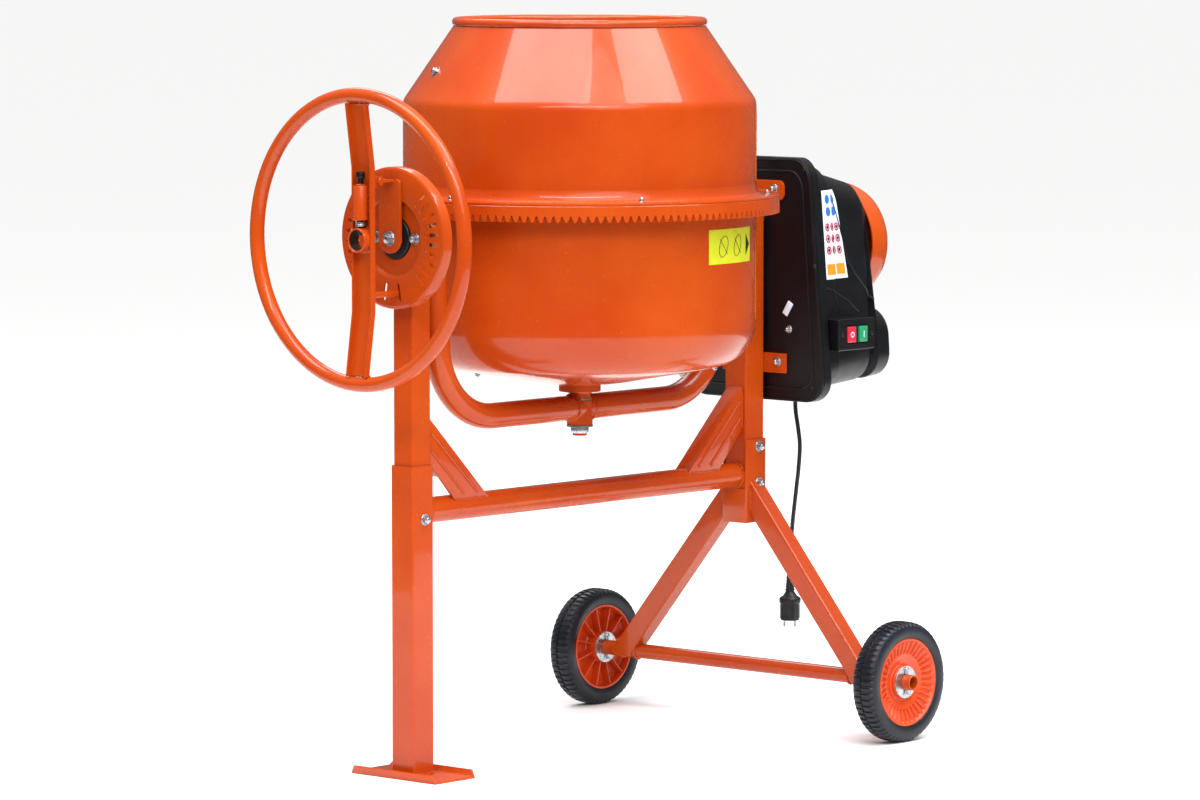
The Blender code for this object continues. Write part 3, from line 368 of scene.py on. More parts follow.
def ring(inner, outer, low, high, chamfer=0.0005):
    """Closed profile of a round tube."""
    c = chamfer
    return [(outer - c, high), (outer, high - c), (outer, low + c), (outer - c, low),
            (inner + c, low), (inner, low + c), (inner, high - c), (inner + c, high)]


def arc(centre, radius, start, stop, steps):
    """Points round part of a circle, in degrees."""
    return [(centre[0] + radius * math.cos(math.radians(start + (stop - start) * k / steps)),
             centre[1] + radius * math.sin(math.radians(start + (stop - start) * k / steps)))
            for k in range(steps + 1)]


def rounded(half_x, half_y, radius, steps=8):
    """Rounded rectangle outline."""
    points = []
    for side_x, side_y, start in ((1, 1, 0), (-1, 1, 90), (-1, -1, 180), (1, -1, 270)):
        centre = (side_x * (half_x - radius), side_y * (half_y - radius))
        points += arc(centre, radius, start, start + 90, steps)
    return points


def soften(bm, width, segments=3, limit=30.0):
    """Bevel the edges that turn more than the limit."""
    edges = [e for e in bm.edges if e.is_manifold and e.calc_face_angle(0.0) > math.radians(limit)]
    bmesh.ops.bevel(bm, geom=edges, offset=width, offset_type="OFFSET", segments=segments,
                    profile=0.5, affect="EDGES", clamp_overlap=True, material=-1)
    return bm


def block(low, high, width=0.001, segments=2):
    """Box with softened edges."""
    bm = bmesh.new()
    bmesh.ops.create_cube(bm, size=1.0)
    bmesh.ops.scale(bm, vec=[high[k] - low[k] for k in range(3)], verts=bm.verts)
    bmesh.ops.translate(bm, vec=[(high[k] + low[k]) / 2 for k in range(3)], verts=bm.verts)
    return soften(bm, width, segments) if width else bm


def slab(outline, thickness, width=0.0008, segments=2):
    """Flat outline in XY pulled up to a thickness, centred on Z = 0."""
    bm = bmesh.new()
    face = bm.faces.new([bm.verts.new((x, y, -thickness / 2)) for x, y in outline])
    pulled = bmesh.ops.extrude_face_region(bm, geom=[face])["geom"]
    bmesh.ops.translate(bm, vec=(0, 0, thickness),
                        verts=[g for g in pulled if isinstance(g, bmesh.types.BMVert)])
    settle(bm)
    return soften(bm, width, segments) if width else bm


def box_tube(size, wall, corner, low, high):
    """Upright square tube with rounded corners."""
    bm = bmesh.new()
    face = bm.faces.new([bm.verts.new((x, y, low)) for x, y in rounded(size / 2, size / 2, corner, 5)])
    pulled = bmesh.ops.extrude_face_region(bm, geom=[face])["geom"]
    bmesh.ops.translate(bm, vec=(0, 0, high - low),
                        verts=[g for g in pulled if isinstance(g, bmesh.types.BMVert)])
    settle(bm)
    ends = [f for f in bm.faces if abs(f.normal.z) > 0.9]
    bmesh.ops.inset_region(bm, faces=ends, thickness=wall, use_even_offset=True)
    sunk = bmesh.ops.extrude_face_region(bm, geom=[f for f in ends if f.is_valid])["geom"]
    inner = [g for g in sunk if isinstance(g, bmesh.types.BMVert)]
    for vert in inner:
        vert.co.z += 0.012 if vert.co.z < (low + high) / 2 else -0.012
    bmesh.ops.delete(bm, geom=[f for f in ends if f.is_valid], context="FACES_ONLY")
    return settle(bm)


def sweep(points, radius, sides=16, caps=True):
    """Round tube along a route, by repeated extrusion of a circle."""
    points = [Vector(p) for p in points]
    bm = bmesh.new()
    verts = bmesh.ops.create_circle(bm, cap_ends=False, radius=radius, segments=sides)["verts"]
    edges = list(bm.edges)
    across = None
    before = Matrix.Identity(4)
    for k, point in enumerate(points):
        along = (points[min(k + 1, len(points) - 1)] - points[max(k - 1, 0)]).normalized()
        if across is None:
            across = along.orthogonal().normalized()
        across = (across - along * across.dot(along)).normalized()
        here = Matrix.Translation(point) @ Matrix(
            (across, along.cross(across), along)).transposed().to_4x4()
        if k:
            grown = bmesh.ops.extrude_edge_only(bm, edges=edges)["geom"]
            verts = [g for g in grown if isinstance(g, bmesh.types.BMVert)]
            fresh = set(verts)
            edges = [g for g in grown if isinstance(g, bmesh.types.BMEdge)
                     and g.verts[0] in fresh and g.verts[1] in fresh]
        bmesh.ops.transform(bm, matrix=here @ before.inverted(), verts=verts)
        before = here
    if caps:
        bmesh.ops.holes_fill(bm, edges=bm.edges)
    return settle(bm)


def join(bm, part, matrix=None):
    """Add one shape to another, moved by a matrix."""
    if matrix is not None:
        bmesh.ops.transform(part, matrix=matrix, verts=part.verts)
    carrier = bpy.data.meshes.new("carrier")
    part.to_mesh(carrier)
    part.free()
    bm.from_mesh(carrier)
    bpy.data.meshes.remove(carrier)
    return bm


def moved(x=0.0, y=0.0, z=0.0, axis="Z"):
    return Matrix.Translation((x, y, z)) @ TURN[axis]


def hex_bolt(across, height, washer=0.0, domed=False):
    """Bolt head that stands on Z = 0 and points up, with a washer and a stub of thread."""
    radius = across / math.sqrt(3)
    bm = bmesh.new()
    made = bmesh.ops.create_cone(bm, cap_ends=True, cap_tris=False, segments=6, radius1=radius,
                                 radius2=radius, depth=height)["verts"]
    bmesh.ops.translate(bm, vec=(0, 0, height / 2 + (0.0014 if washer else 0.0)), verts=made)
    soften(bm, height * 0.14, 2)
    if washer:
        join(bm, lathe(ring(radius * 0.5, washer, 0.0, 0.0014, 0.0003), 32, True))
    if domed:
        top = height + (0.0014 if washer else 0.0)
        stub = radius * 0.62
        join(bm, lathe([(0.0, top + 0.0035), (stub * 0.7, top + 0.0030), (stub, top + 0.0018),
                        (stub, top - 0.001), (0.0, top - 0.001)], 20))
    return bm


def pan_screw(radius, height, recess=True):
    """Pan head with a socket, standing on Z = 0."""
    deep = height * 0.5
    profile = [(0.0, height - deep if recess else height)]
    if recess:
        profile += [(radius * 0.42, height - deep), (radius * 0.45, height)]
    profile += [(radius * 0.75, height * 0.94), (radius * 0.95, height * 0.6), (radius, 0.0), (0.0, 0.0)]
    return lathe(profile, 28)


def weld(radius, size, seed, count=72, start=0.0, stop=360.0):
    """Weld bead round a tube: a ring of small scales."""
    draw = random.Random(seed)
    points = []
    for k in range(count + 1):
        angle = math.radians(start + (stop - start) * k / count)
        wander = radius + size * 0.25 * draw.uniform(-1, 1)
        points.append((wander * math.cos(angle), wander * math.sin(angle),
                       size * 0.2 * draw.uniform(-1, 1)))
    return sweep(points, size, 8)


def seam(start, end, size, seed):
    """Straight weld bead between two points."""
    draw = random.Random(seed)
    start, end = Vector(start), Vector(end)
    count = max(int((end - start).length / 0.003), 4)
    points = []
    for k in range(count + 1):
        wander = Vector([size * 0.22 * draw.uniform(-1, 1) for _ in range(3)])
        points.append(start.lerp(end, k / count) + wander)
    return sweep(points, size, 8)


def place(name, bm, material, body, stands_for=(), smooth=35.0, weighted=False):
    """Make the finished piece: shift it to the frame, shade it and let it ride on its body."""
    bmesh.ops.translate(bm, vec=(DRUM_X, 0.0, 0.0), verts=bm.verts)
    mesh = bpy.data.meshes.new(name)
    bm.to_mesh(mesh)
    bm.free()
    made = bpy.data.objects.new(name, mesh)
    bpy.context.scene.collection.objects.link(made)
    mesh.materials.append(MADE[material])
    mesh.shade_smooth()
    mesh.set_sharp_from_angle(angle=math.radians(smooth))
    if weighted:
        even = made.modifiers.new("flat faces first", "WEIGHTED_NORMAL")
        even.keep_sharp = True
    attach(made, body)
    if stands_for:
        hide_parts(*stands_for)
    return made


def carve(piece, cutter_bm):
    """Cut a finished piece with a shape, and keep the result as its own mesh."""
    bmesh.ops.translate(cutter_bm, vec=(DRUM_X, 0.0, 0.0), verts=cutter_bm.verts)
    mesh = bpy.data.meshes.new("cutter")
    cutter_bm.to_mesh(mesh)
    cutter_bm.free()
    cutter = bpy.data.objects.new("cutter", mesh)
    bpy.context.scene.collection.objects.link(cutter)
    step = piece.modifiers.new("cut", "BOOLEAN")
    step.operation = "DIFFERENCE"
    step.solver = "EXACT"
    step.object = cutter
    graph = bpy.context.evaluated_depsgraph_get()
    done = bpy.data.meshes.new_from_object(piece.evaluated_get(graph))
    piece.modifiers.remove(step)
    old = piece.data
    done.name = old.name + "_cut"
    piece.data = done
    bpy.data.meshes.remove(old)
    bpy.data.objects.remove(cutter, do_unlink=True)
    piece.data.set_sharp_from_angle(angle=math.radians(35.0))
    return piece


def dressed(name, node, material, body, width, segments=2):
    """A CAD node with its loose triangles merged into faces and its edges softened."""
    bm = bmesh.new()
    bm.from_mesh(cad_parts[node].data)
    bmesh.ops.remove_doubles(bm, verts=bm.verts, dist=2e-5)
    bmesh.ops.dissolve_limit(bm, angle_limit=math.radians(2.0), verts=bm.verts, edges=bm.edges)
    soften(bm, width, segments)
    bmesh.ops.translate(bm, vec=(-DRUM_X, 0.0, 0.0), verts=bm.verts)
    return place(name, bm, material, body, (node,))


def repaint(material, *nodes):
    """Give CAD nodes that keep their own shape a finish."""
    for node in nodes:
        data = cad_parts[node].data
        data.materials.clear()
        data.materials.append(MADE[material])


# ---------------------------------------------------------------- drum
def skin(outline, thickness):
    """Closed profile of a sheet: the outline and its offset towards the axis."""
    inner = []
    for k, point in enumerate(outline):
        before = Vector(outline[max(k - 1, 0)])
        after = Vector(outline[min(k + 1, len(outline) - 1)])
        along = (after - before).normalized()
        inner.append((max(point[0] + along.y * thickness, 0.0), point[1] - along.x * thickness))
    return list(outline) + inner[::-1]


def build_drum(sizes):
    radius = sizes.drum_radius
    low = [(radius, SEAM_Z - 0.0005)] + arc((radius - 0.078, 0.747), 0.078, 0, -72, 22)
    low += [(0.190, 0.6605), (0.130, 0.650), (0.100, 0.6440), (0.060, 0.638), (0.0130, 0.638)]
    bm = lathe(skin(low, sizes.sheet), 144, True)
    place("drum_lower_half", bm, "orange_enamel", "drum", ("lower_drum",))

    # the cone meets the cylinder in a 12 mm pressed bend, and ends in a rolled bead
    slope = math.atan2(RIM_Z - SHOULDER_Z, radius - RIM_R)
    bend = [(radius - 0.0052, SHOULDER_Z + 0.0085), (radius - 0.0028, SHOULDER_Z + 0.0045),
            (radius - 0.0011, SHOULDER_Z + 0.0005), (radius - 0.0002, SHOULDER_Z - 0.0045),
            (radius, SHOULDER_Z - 0.009)]
    neck = (RIM_R + 0.0052, RIM_Z - 0.0064)
    top = [neck, (RIM_R + 0.0052 + 0.0062 / math.tan(slope), RIM_Z - 0.0126)] + bend
    top += [(radius, SEAM_Z + 0.0005)]
    bead = arc((RIM_R, RIM_Z), 0.008, 300, -40, 26)[1:-1]
    bm = lathe(skin(top, sizes.sheet), 144, True)
    join(bm, lathe(arc((RIM_R, RIM_Z), 0.0079, 0, 345, 23), 144, True))
    place("drum_upper_half", bm, "orange_enamel", "drum", ("upper_drum",))

    # the flanges of both halves, pressed outwards over the drive ring
    flange = [(radius + 0.0002, SEAM_Z + 0.0250), (radius + 0.0015, SEAM_Z + 0.0150),
              (radius + 0.0050, SEAM_Z + 0.0085), (radius + 0.0110, SEAM_Z + 0.0062),
              (0.3420, SEAM_Z + 0.0056), (0.3448, SEAM_Z + 0.0046), (0.3449, SEAM_Z + 0.0022),
              (0.3440, SEAM_Z + 0.0012), (radius - 0.0005, SEAM_Z + 0.0012)]
    place("drum_flange", lathe(flange, 144, True), "orange_enamel", "drum")

    bolts = bmesh.new()
    for k in range(6):
        angle = math.radians(FLANGE_BOLT_TURN + 60.0 * k)
        join(bolts, hex_bolt(0.0085, 0.0038, 0.0062, True),
             Matrix.Translation((0.3275 * math.cos(angle), 0.3275 * math.sin(angle), SEAM_Z + 0.0056)))
    place("drum_flange_bolts", bolts, "zinc_plate", "drum")


FLANGE_BOLT_TURN = 0.7


def build_drum_details(sizes):
    """Seam weld down the drum, and the bolts that hold the mixing blades."""
    radius = sizes.drum_radius
    turn = math.radians(-55.5)
    welds = bmesh.new()
    side_line = bmesh.new()
    for low, high, seed in ((0.752, 0.934, 3), (0.990, 1.115, 4)):
        x, y = (radius + 0.0001) * math.cos(turn), (radius + 0.0001) * math.sin(turn)
        join(welds, seam((x, y, low), (x, y, high), 0.0016, seed))
        # a thin lighter, yellower line along one side of the weld
        side = turn - 0.0085
        x, y = (radius + 0.0001) * math.cos(side), (radius + 0.0001) * math.sin(side)
        join(side_line, seam((x, y, low), (x, y, high), 0.0007, seed + 5))
    place("drum_seam_weld", welds, "orange_enamel", "drum")
    place("drum_seam_stain", side_line, "seam_side_line", "drum")

    bolts = bmesh.new()
    cone = math.pi / 2 - math.atan2(radius - RIM_R, RIM_Z - SHOULDER_Z)
    for turn, r, z, lean, across in ((132.0, 0.1760, 0.6575, math.pi - 0.17, 0.0100),
                                     (312.0, 0.1760, 0.6575, math.pi - 0.17, 0.0100),
                                     (132.0, 0.2320, 0.6690, math.pi - 0.30, 0.0100),
                                     (312.0, 0.2320, 0.6690, math.pi - 0.30, 0.0100),
                                     (157.0, 0.2690, 1.1790, cone, 0.0125),
                                     (337.0, 0.2690, 1.1790, cone, 0.0125)):
        join(bolts, hex_bolt(across, 0.0045, across * 0.78, True),
             Matrix.Rotation(math.radians(turn), 4, "Z") @ Matrix.Translation((r, 0.0, z))
             @ Matrix.Rotation(lean, 4, "Y"))
    place("blade_bolts", bolts, "zinc_plate", "drum")

    for label in ("a", "b"):
        dressed(f"mixing_blade_{label}", f"mixing_paddle_{label}", "orange_enamel", "drum",
                0.0012)


def build_ring_gear(sizes):
    """Toothed drive ring: the teeth point down and lean to the apex on the tilt axis."""
    stations = sizes.teeth * 6
    outer, inner = 0.345, 0.327
    tip, root = 0.025, 0.036
    section = [(sizes.drum_radius + 0.0008, SEAM_Z + 0.001), (outer - 0.0012, SEAM_Z + 0.001),
               (outer, SEAM_Z - 0.0005), (outer, TILT_Z + root + 0.0015), (outer, TILT_Z + tip),
               (inner, TILT_Z + tip * inner / outer), (sizes.drum_radius + 0.0008, SEAM_Z - 0.008)]
    bm = lathe(section, stations, True)
    shape = (1.0, 1.0, 0.62, 0.0, 0.0, 0.62)          # tip, tip, flank, root, root, flank
    for vert in bm.verts:
        reach = math.hypot(vert.co.x, vert.co.y)
        ideal = TILT_Z + tip * reach / outer
        if abs(vert.co.z - ideal) < 1e-4:
            angle = math.atan2(vert.co.y, vert.co.x) % (2 * math.pi)
            at = round(angle / (2 * math.pi) * stations) % 6
            depth = root + (tip - root) * shape[at]
            vert.co.z = TILT_Z + depth * reach / outer
    bmesh.ops.recalc_face_normals(bm, faces=bm.faces)
    place("drive_ring", bm, "orange_enamel", "drum", ("ring_gear",), smooth=28.0)


# ---------------------------------------------------------------- frame
def build_posts(sizes):
    wall = 0.0025
    corner = sizes.corner
    bm = box_tube(0.045, wall, corner, 0.415, POST_TOP)
    bmesh.ops.translate(bm, vec=(FRONT_POST_X, 0, 0), verts=bm.verts)
    place("front_upright", bm, "orange_enamel", "frame", ("front_post",),
          weighted=True)
    bm = box_tube(0.050, wall, corner, 0.369, POST_TOP)
    bmesh.ops.translate(bm, vec=(REAR_POST_X, 0, 0), verts=bm.verts)
    place("rear_upright", bm, "orange_enamel", "frame", ("rear_post",),
          weighted=True)
    bm = box_tube(0.0512, wall, corner, 0.0043, SLEEVE_TOP)
    bmesh.ops.translate(bm, vec=(FRONT_POST_X, 0, 0), verts=bm.verts)
    place("front_leg_sleeve", bm, "orange_enamel", "frame", ("leg_sleeve",),
          weighted=True)
    dressed("foot", "foot_plate", "orange_enamel", "frame", 0.0009)

    beads = bmesh.new()
    half = 0.0256
    corners = [(-half, -half), (half, -half), (half, half), (-half, half)]
    for k in range(4):
        (x0, y0), (x1, y1) = corners[k], corners[(k + 1) % 4]
        join(beads, seam((FRONT_POST_X + x0, y0, 0.0048), (FRONT_POST_X + x1, y1, 0.0048), 0.0022, 20 + k))
    place("foot_welds", beads, "orange_enamel", "frame")


def build_crossbar():
    start, end = FRONT_POST_X + 0.0259, REAR_POST_X - 0.0253
    bm = lathe(ring(0.0195, 0.022, start, end, 0.0004), 64, True)
    place("cross_tube", bm_at(bm, moved(0, 0, BAR_Z, "X")), "orange_enamel", "frame", ("crossbar",))
    beads = bmesh.new()
    for x, seed in ((start + 0.001, 31), (end - 0.001, 32)):
        join(beads, weld(0.0228, 0.0022, seed), moved(x, 0, BAR_Z, "X"))
    place("cross_tube_welds", beads, "orange_enamel", "frame")


def bm_at(bm, matrix):
    bmesh.ops.transform(bm, matrix=matrix, verts=bm.verts)
    return bm


def build_gussets():
    """Pressed channel struts, with two ribs along their faces."""
    for name, node, face_x, side in (("front_strut", "gusset_front", FRONT_POST_X + 0.0228, 1.0),
                                     ("rear_strut", "gusset_rear", REAR_POST_X - 0.0253, -1.0)):
        dressed(name, node, "orange_enamel", "frame", 0.0012)
        beads = bmesh.new()
        low_x = 0.0631 if side > 0 else 0.0631
        ribs = bmesh.new()
        for share in (0.30, 0.70):
            heel = (face_x + side * 0.006, 0.530 + share * 0.076 - 0.004)
            toe = (face_x + side * (0.060 + share * 0.083), 0.472)
            join(ribs, sweep([(heel[0], -0.0172, heel[1]), (toe[0], -0.0172, toe[1])], 0.0024, 12))
        place(name + "_ribs", ribs, "orange_enamel", "frame")
        join(beads, seam((face_x + side * 0.0015, -0.0172, 0.533), (face_x + side * 0.0015, -0.0172, 0.603),
                         0.0020, 41))
        join(beads, seam((face_x + side * 0.062, -0.0165, 0.4615), (face_x + side * 0.138, -0.0165, 0.4615),
                         0.0020, 42))
        place(name + "_welds", beads, "orange_enamel", "frame")


def build_leg_frame(sizes):
    """Clamp channel, two slanted legs, axle tube and their fastenings."""
    dressed("leg_clamp", "leg_bracket", "orange_enamel", "frame", 0.0012)
    top_y, top_z, foot_y, foot_z = 0.030, 0.405, 0.271, 0.117
    fall = (top_z - foot_z) / (foot_y - top_y)
    for name, node, side in (("near_leg", "axle_leg_near", -1.0), ("far_leg", "axle_leg_far", 1.0)):
        start = Vector((REAR_POST_X, 0.0, top_z + top_y * fall))
        end = Vector((REAR_POST_X, side * (foot_y + 0.02), foot_z - 0.02 * fall))
        along = (end - start).normalized()
        across = Vector((1.0, 0.0, 0.0))
        length = (end - start).length
        bm = bmesh.new()
        face = bm.faces.new([bm.verts.new((x, y, -length / 2))
                             for x, y in rounded(0.017, 0.019, 0.0035, 5)])
        pulled = bmesh.ops.extrude_face_region(bm, geom=[face])["geom"]
        bmesh.ops.translate(bm, vec=(0, 0, length),
                            verts=[g for g in pulled if isinstance(g, bmesh.types.BMVert)])
        settle(bm)
        turn = Matrix((across, along.cross(across), along)).transposed().to_4x4()
        bm_at(bm, Matrix.Translation((start + end) / 2) @ turn)
        inner = 0.0283
        for at, normal in (((0, side * inner, 0), (0, -side, 0)), ((0, 0, AXLE_Z - 0.010), (0, 0, -1))):
            cut = bmesh.ops.bisect_plane(bm, geom=bm.verts[:] + bm.edges[:] + bm.faces[:],
                                         plane_co=at, plane_no=normal, clear_outer=True)["geom_cut"]
            bmesh.ops.holes_fill(bm, edges=[g for g in cut if isinstance(g, bmesh.types.BMEdge)])
        settle(bm)
        place(name, bm, "orange_enamel", "frame", (node,), weighted=True)
    axle = lathe(ring(0.0110, 0.0135, -0.392, 0.392, 0.0006), 64, True)
    place("axle_tube", bm_at(axle, moved(REAR_POST_X, 0, AXLE_Z, "Y")), "orange_enamel", "frame",
          ("axle",))
    beads = bmesh.new()
    for side, seed in ((-1, 51), (1, 52)):
        for y in (0.2515, 0.2905):
            join(beads, weld(0.0142, 0.0020, seed + int(y * 1000)), moved(REAR_POST_X, side * y, AXLE_Z, "Y"))
        join(beads, seam((REAR_POST_X - 0.0172, side * 0.0290, 0.385), (REAR_POST_X - 0.0172, side * 0.0290, 0.425),
                         0.0022, seed + 7))
        join(beads, seam((REAR_POST_X + 0.0172, side * 0.0290, 0.385), (REAR_POST_X + 0.0172, side * 0.0290, 0.425),
                         0.0022, seed + 8))
    place("axle_welds", beads, "orange_enamel", "frame")


def build_frame_bolts():
    """Zinc bolts on the clamp, the sleeve and the housing brackets."""
    bolts = bmesh.new()
    near = Matrix.Rotation(math.pi / 2, 4, "X")
    for z in (0.498, 0.4325):
        join(bolts, hex_bolt(0.0130, 0.0060, 0.0100, True), Matrix.Translation((0.4445, -0.0284, z)) @ near)
        join(bolts, hex_bolt(0.0130, 0.0060, 0.0100, True),
             Matrix.Translation((0.4445, 0.0284, z)) @ Matrix.Rotation(-math.pi / 2, 4, "X"))
    join(bolts, hex_bolt(0.0130, 0.0060, 0.0100, True),
         Matrix.Translation((FRONT_POST_X + 0.004, -0.0257, 0.4355)) @ near)
    place("frame_bolts", bolts, "zinc_plate", "frame")

    front = Matrix.Rotation(-math.pi / 2, 4, "Y")
    bolts = bmesh.new()
    for x, y, z in ((0.4622, -0.047, 0.958), (0.4622, -0.056, 0.650)):
        join(bolts, hex_bolt(0.0105, 0.0050, 0.0085, True), Matrix.Translation((x, y, z)) @ front)
        join(bolts, hex_bolt(0.0105, 0.0050, 0.0085, True), Matrix.Translation((x, -y, z)) @ front)
    join(bolts, hex_bolt(0.0085, 0.0045, 0.0070, True), Matrix.Translation((PLATE_X, -0.078, 0.7085)) @ front)
    join(bolts, hex_bolt(0.0085, 0.0045, 0.0070, True), Matrix.Translation((PLATE_X, 0.078, 0.7085)) @ front)
    place("housing_bolts", bolts, "zinc_plate", "frame")


# ---------------------------------------------------------------- road wheels
def build_tyre(label, side, sizes):
    """Solid tyre: two rows of blocks, half a pitch apart, with a groove between them."""
    per = 6
    stations = sizes.tread_blocks * per
    half = [(0.0773, 0.0), (0.0773, 0.0200), (0.0785, 0.0216), (0.0830, 0.0230), (0.0880, 0.0235),
            (0.0940, 0.0232), (0.0985, 0.0219), (0.1012, 0.0202), (0.1036, 0.0176), (0.1052, 0.0138),
            (0.1059, 0.0085), (0.1059, 0.0022), (0.1028, 0.0012), (0.1024, 0.0)]
    profile = half + [(r, -h) for r, h in half[-2:0:-1]]
    bm = lathe(profile, stations, True)
    for vert in bm.verts:
        reach = math.hypot(vert.co.x, vert.co.y)
        if reach > 0.1005 and abs(vert.co.z) > 0.0018:
            angle = math.atan2(vert.co.y, vert.co.x) % (2 * math.pi)
            at = round(angle / (2 * math.pi) * stations)
            if vert.co.z > 0:
                at += per // 2
            if at % per in (0, 1):
                low = (reach - 0.0026) / reach
                vert.co.x *= low
                vert.co.y *= low
    bmesh.ops.recalc_face_normals(bm, faces=bm.faces)
    bm_at(bm, moved(REAR_POST_X, side * WHEEL_Y, AXLE_Z, "Y"))
    place("tyre_tread_" + label, bm, "tyre_rubber", "wheel_" + label, ("tyre_" + label,),
          smooth=24.0)


def build_rim(label, side):
    """Moulded wheel centre: fluted outside, ribbed inside."""
    flutes, per = 36, 6
    out = [(0.0770, -0.0213), (0.0770, 0.0213), (0.0752, 0.0222), (0.0738, 0.0215), (0.0725, 0.0198),
           (0.0700, 0.0196), (0.0640, 0.0176), (0.0570, 0.0151), (0.0505, 0.0128), (0.0480, 0.0122),
           (0.0400, 0.0092), (0.0345, 0.0066), (0.0318, 0.0066), (0.0303, 0.0080), (0.0298, 0.0130),
           (0.0288, 0.0142), (0.0141, 0.0142), (0.0141, -0.0240), (0.0268, -0.0240), (0.0280, -0.0228),
           (0.0300, -0.0045), (0.0320, -0.0030), (0.0690, -0.0040), (0.0715, -0.0060), (0.0730, -0.0190),
           (0.0738, -0.0213)]
    bm = lathe(out, flutes * per, True)
    for vert in bm.verts:
        reach = math.hypot(vert.co.x, vert.co.y)
        if 0.0500 < reach < 0.0705 and vert.co.z > 0.005:
            angle = math.atan2(vert.co.y, vert.co.x) % (2 * math.pi)
            at = round(angle / (2 * math.pi) * flutes * per) % per
            vert.co.z += (-0.0050, -0.0044, -0.0008, 0.0, -0.0008, -0.0044)[at]
    bmesh.ops.recalc_face_normals(bm, faces=bm.faces)
    rib_count = 12
    for k in range(rib_count):
        rib = block((0.0285, -0.0010, -0.0195), (0.0725, 0.0010, -0.0030), 0.0003, 1)
        join(bm, rib, Matrix.Rotation(2 * math.pi * (k + 0.5) / rib_count, 4, "Z"))
    flip = Matrix.Identity(4) if side > 0 else Matrix.Rotation(math.pi, 4, "X")
    bm_at(bm, moved(REAR_POST_X, side * WHEEL_Y, AXLE_Z, "Y") @ flip)
    place("wheel_centre_" + label, bm, "orange_wheel_plastic", "wheel_" + label,
          ("wheel_rim_" + label,), smooth=30.0)


def build_wheels(sizes):
    for label, side in (("near", -1.0), ("far", 1.0)):
        build_tyre(label, side, sizes)
        build_rim(label, side)
        metal = bmesh.new()
        for y, radius in ((WHEEL_Y + 0.0154, 0.0285), (WHEEL_Y - 0.0252, 0.0280)):
            join(metal, lathe(ring(0.0139, radius, -0.0010, 0.0010, 0.0003), 48, True),
                 moved(REAR_POST_X, side * y, AXLE_Z, "Y"))
        # split pins: two legs, a bent end below and an eye above
        for y in (WHEEL_Y + 0.0192, WHEEL_Y - 0.0292):
            for leg in (-0.0011, 0.0011):
                spread = 0.0075 if leg > 0 else -0.0030
                route = [(REAR_POST_X + leg, side * y, AXLE_Z + 0.0200),
                         (REAR_POST_X + leg, side * y, AXLE_Z - 0.0170),
                         (REAR_POST_X + leg + spread * 0.35, side * y, AXLE_Z - 0.0200),
                         (REAR_POST_X + leg + spread, side * y, AXLE_Z - 0.0225)]
                join(metal, sweep(route, 0.0010, 8))
            eye = [(REAR_POST_X + 0.0032 * math.cos(a), side * y, AXLE_Z + 0.0225 + 0.0032 * math.sin(a))
                   for a in [math.radians(-70 + 320 * k / 12) for k in range(13)]]
            join(metal, sweep(eye, 0.0010, 8))
        place("washers_" + label, metal, "zinc_plate", "frame")


# ---------------------------------------------------------------- tilt bearings and lock disc
def build_front_bearing():
    face = FRONT_POST_X - 0.0225
    bm = lathe(ring(0.0200, 0.062, face - 0.0125, face - 0.0003, 0.001), 72, True)
    place("disc_boss", bm_at(bm, moved(0, 0, TILT_Z, "X")), "orange_enamel", "frame",
          ("bearing_flange",))
    bm = lathe(ring(0.0153, 0.0345, -0.4605, -0.4537, 0.001), 64, True)
    place("shaft_seal", bm_at(bm, moved(0, 0, TILT_Z, "X")), "black_pvc", "frame",
          ("bearing_seal",))
    repaint("bare_steel", "front_bearing", "rear_bearing", "hub_bearing", "trunnion_rear", "motor",
            "pinion_shaft")
    repaint("zinc_plate", "motor_pulley")
    repaint("black_pvc", "drive_belt")
    repaint("black_polypropylene", "large_pulley")


def build_lock_disc():
    """Pressed dish: slotted face, sunk middle, and a flange turned back."""
    t, x, deep = 0.003, DISC_X, DISC_X + 0.009
    outer = arc((0.1150, x + 0.0040), 0.0040, 90, 0, 6)          # (radius, along) of the turned edge
    face = [(0.0365, deep), (0.0600, deep)] + [(0.0622, deep - 0.0006), (0.0655, x + 0.0012),
                                               (0.0680, x)]
    rim = [(0.1130, x), (0.1165, x + 0.0006), (0.1184, x + 0.0022), (0.1190, x + 0.0045), (0.1190, x + 0.0210)]
    back = [(0.1160, x + 0.0210), (0.1160, x + 0.0060), (0.1150, x + 0.0040), (0.1130, x + t),
            (0.0690, x + t), (0.0664, x + 0.0045), (0.0632, deep + 0.0026), (0.0600, deep + t),
            (0.0365, deep + t)]
    bm = lathe(face + rim + back, 180, True)
    piece = place("slotted_disc", bm_at(bm, moved(0, 0, TILT_Z, "X")), "orange_enamel", "frame",
                  ("lock_disc",))
    cutter = bmesh.new()
    for angle in [base + step for base in (0, 180) for step in range(-45, 46, 10)] + [260, 280]:
        slot = slab(rounded(0.0150, 0.0031, 0.0030, 5), 0.02, 0)
        join(cutter, slot, Matrix.Translation((DISC_X, 0, TILT_Z))
             @ Matrix.Rotation(math.radians(angle), 4, "X") @ Matrix.Translation((0, 0.0915, 0))
             @ Matrix(((0, 0, 1, 0), (1, 0, 0, 0), (0, 1, 0, 0), (0, 0, 0, 1))))
    carve(piece, cutter)
    bolts = bmesh.new()
    out = Matrix.Rotation(-math.pi / 2, 4, "Y")
    for side in (-1.0, 1.0):
        join(bolts, hex_bolt(0.0128, 0.0060, 0.0098, True),
             Matrix.Translation((deep, side * 0.045, TILT_Z)) @ out)
    place("disc_bolts", bolts, "zinc_plate", "frame", ("disc_bolt_near", "disc_bolt_far"))


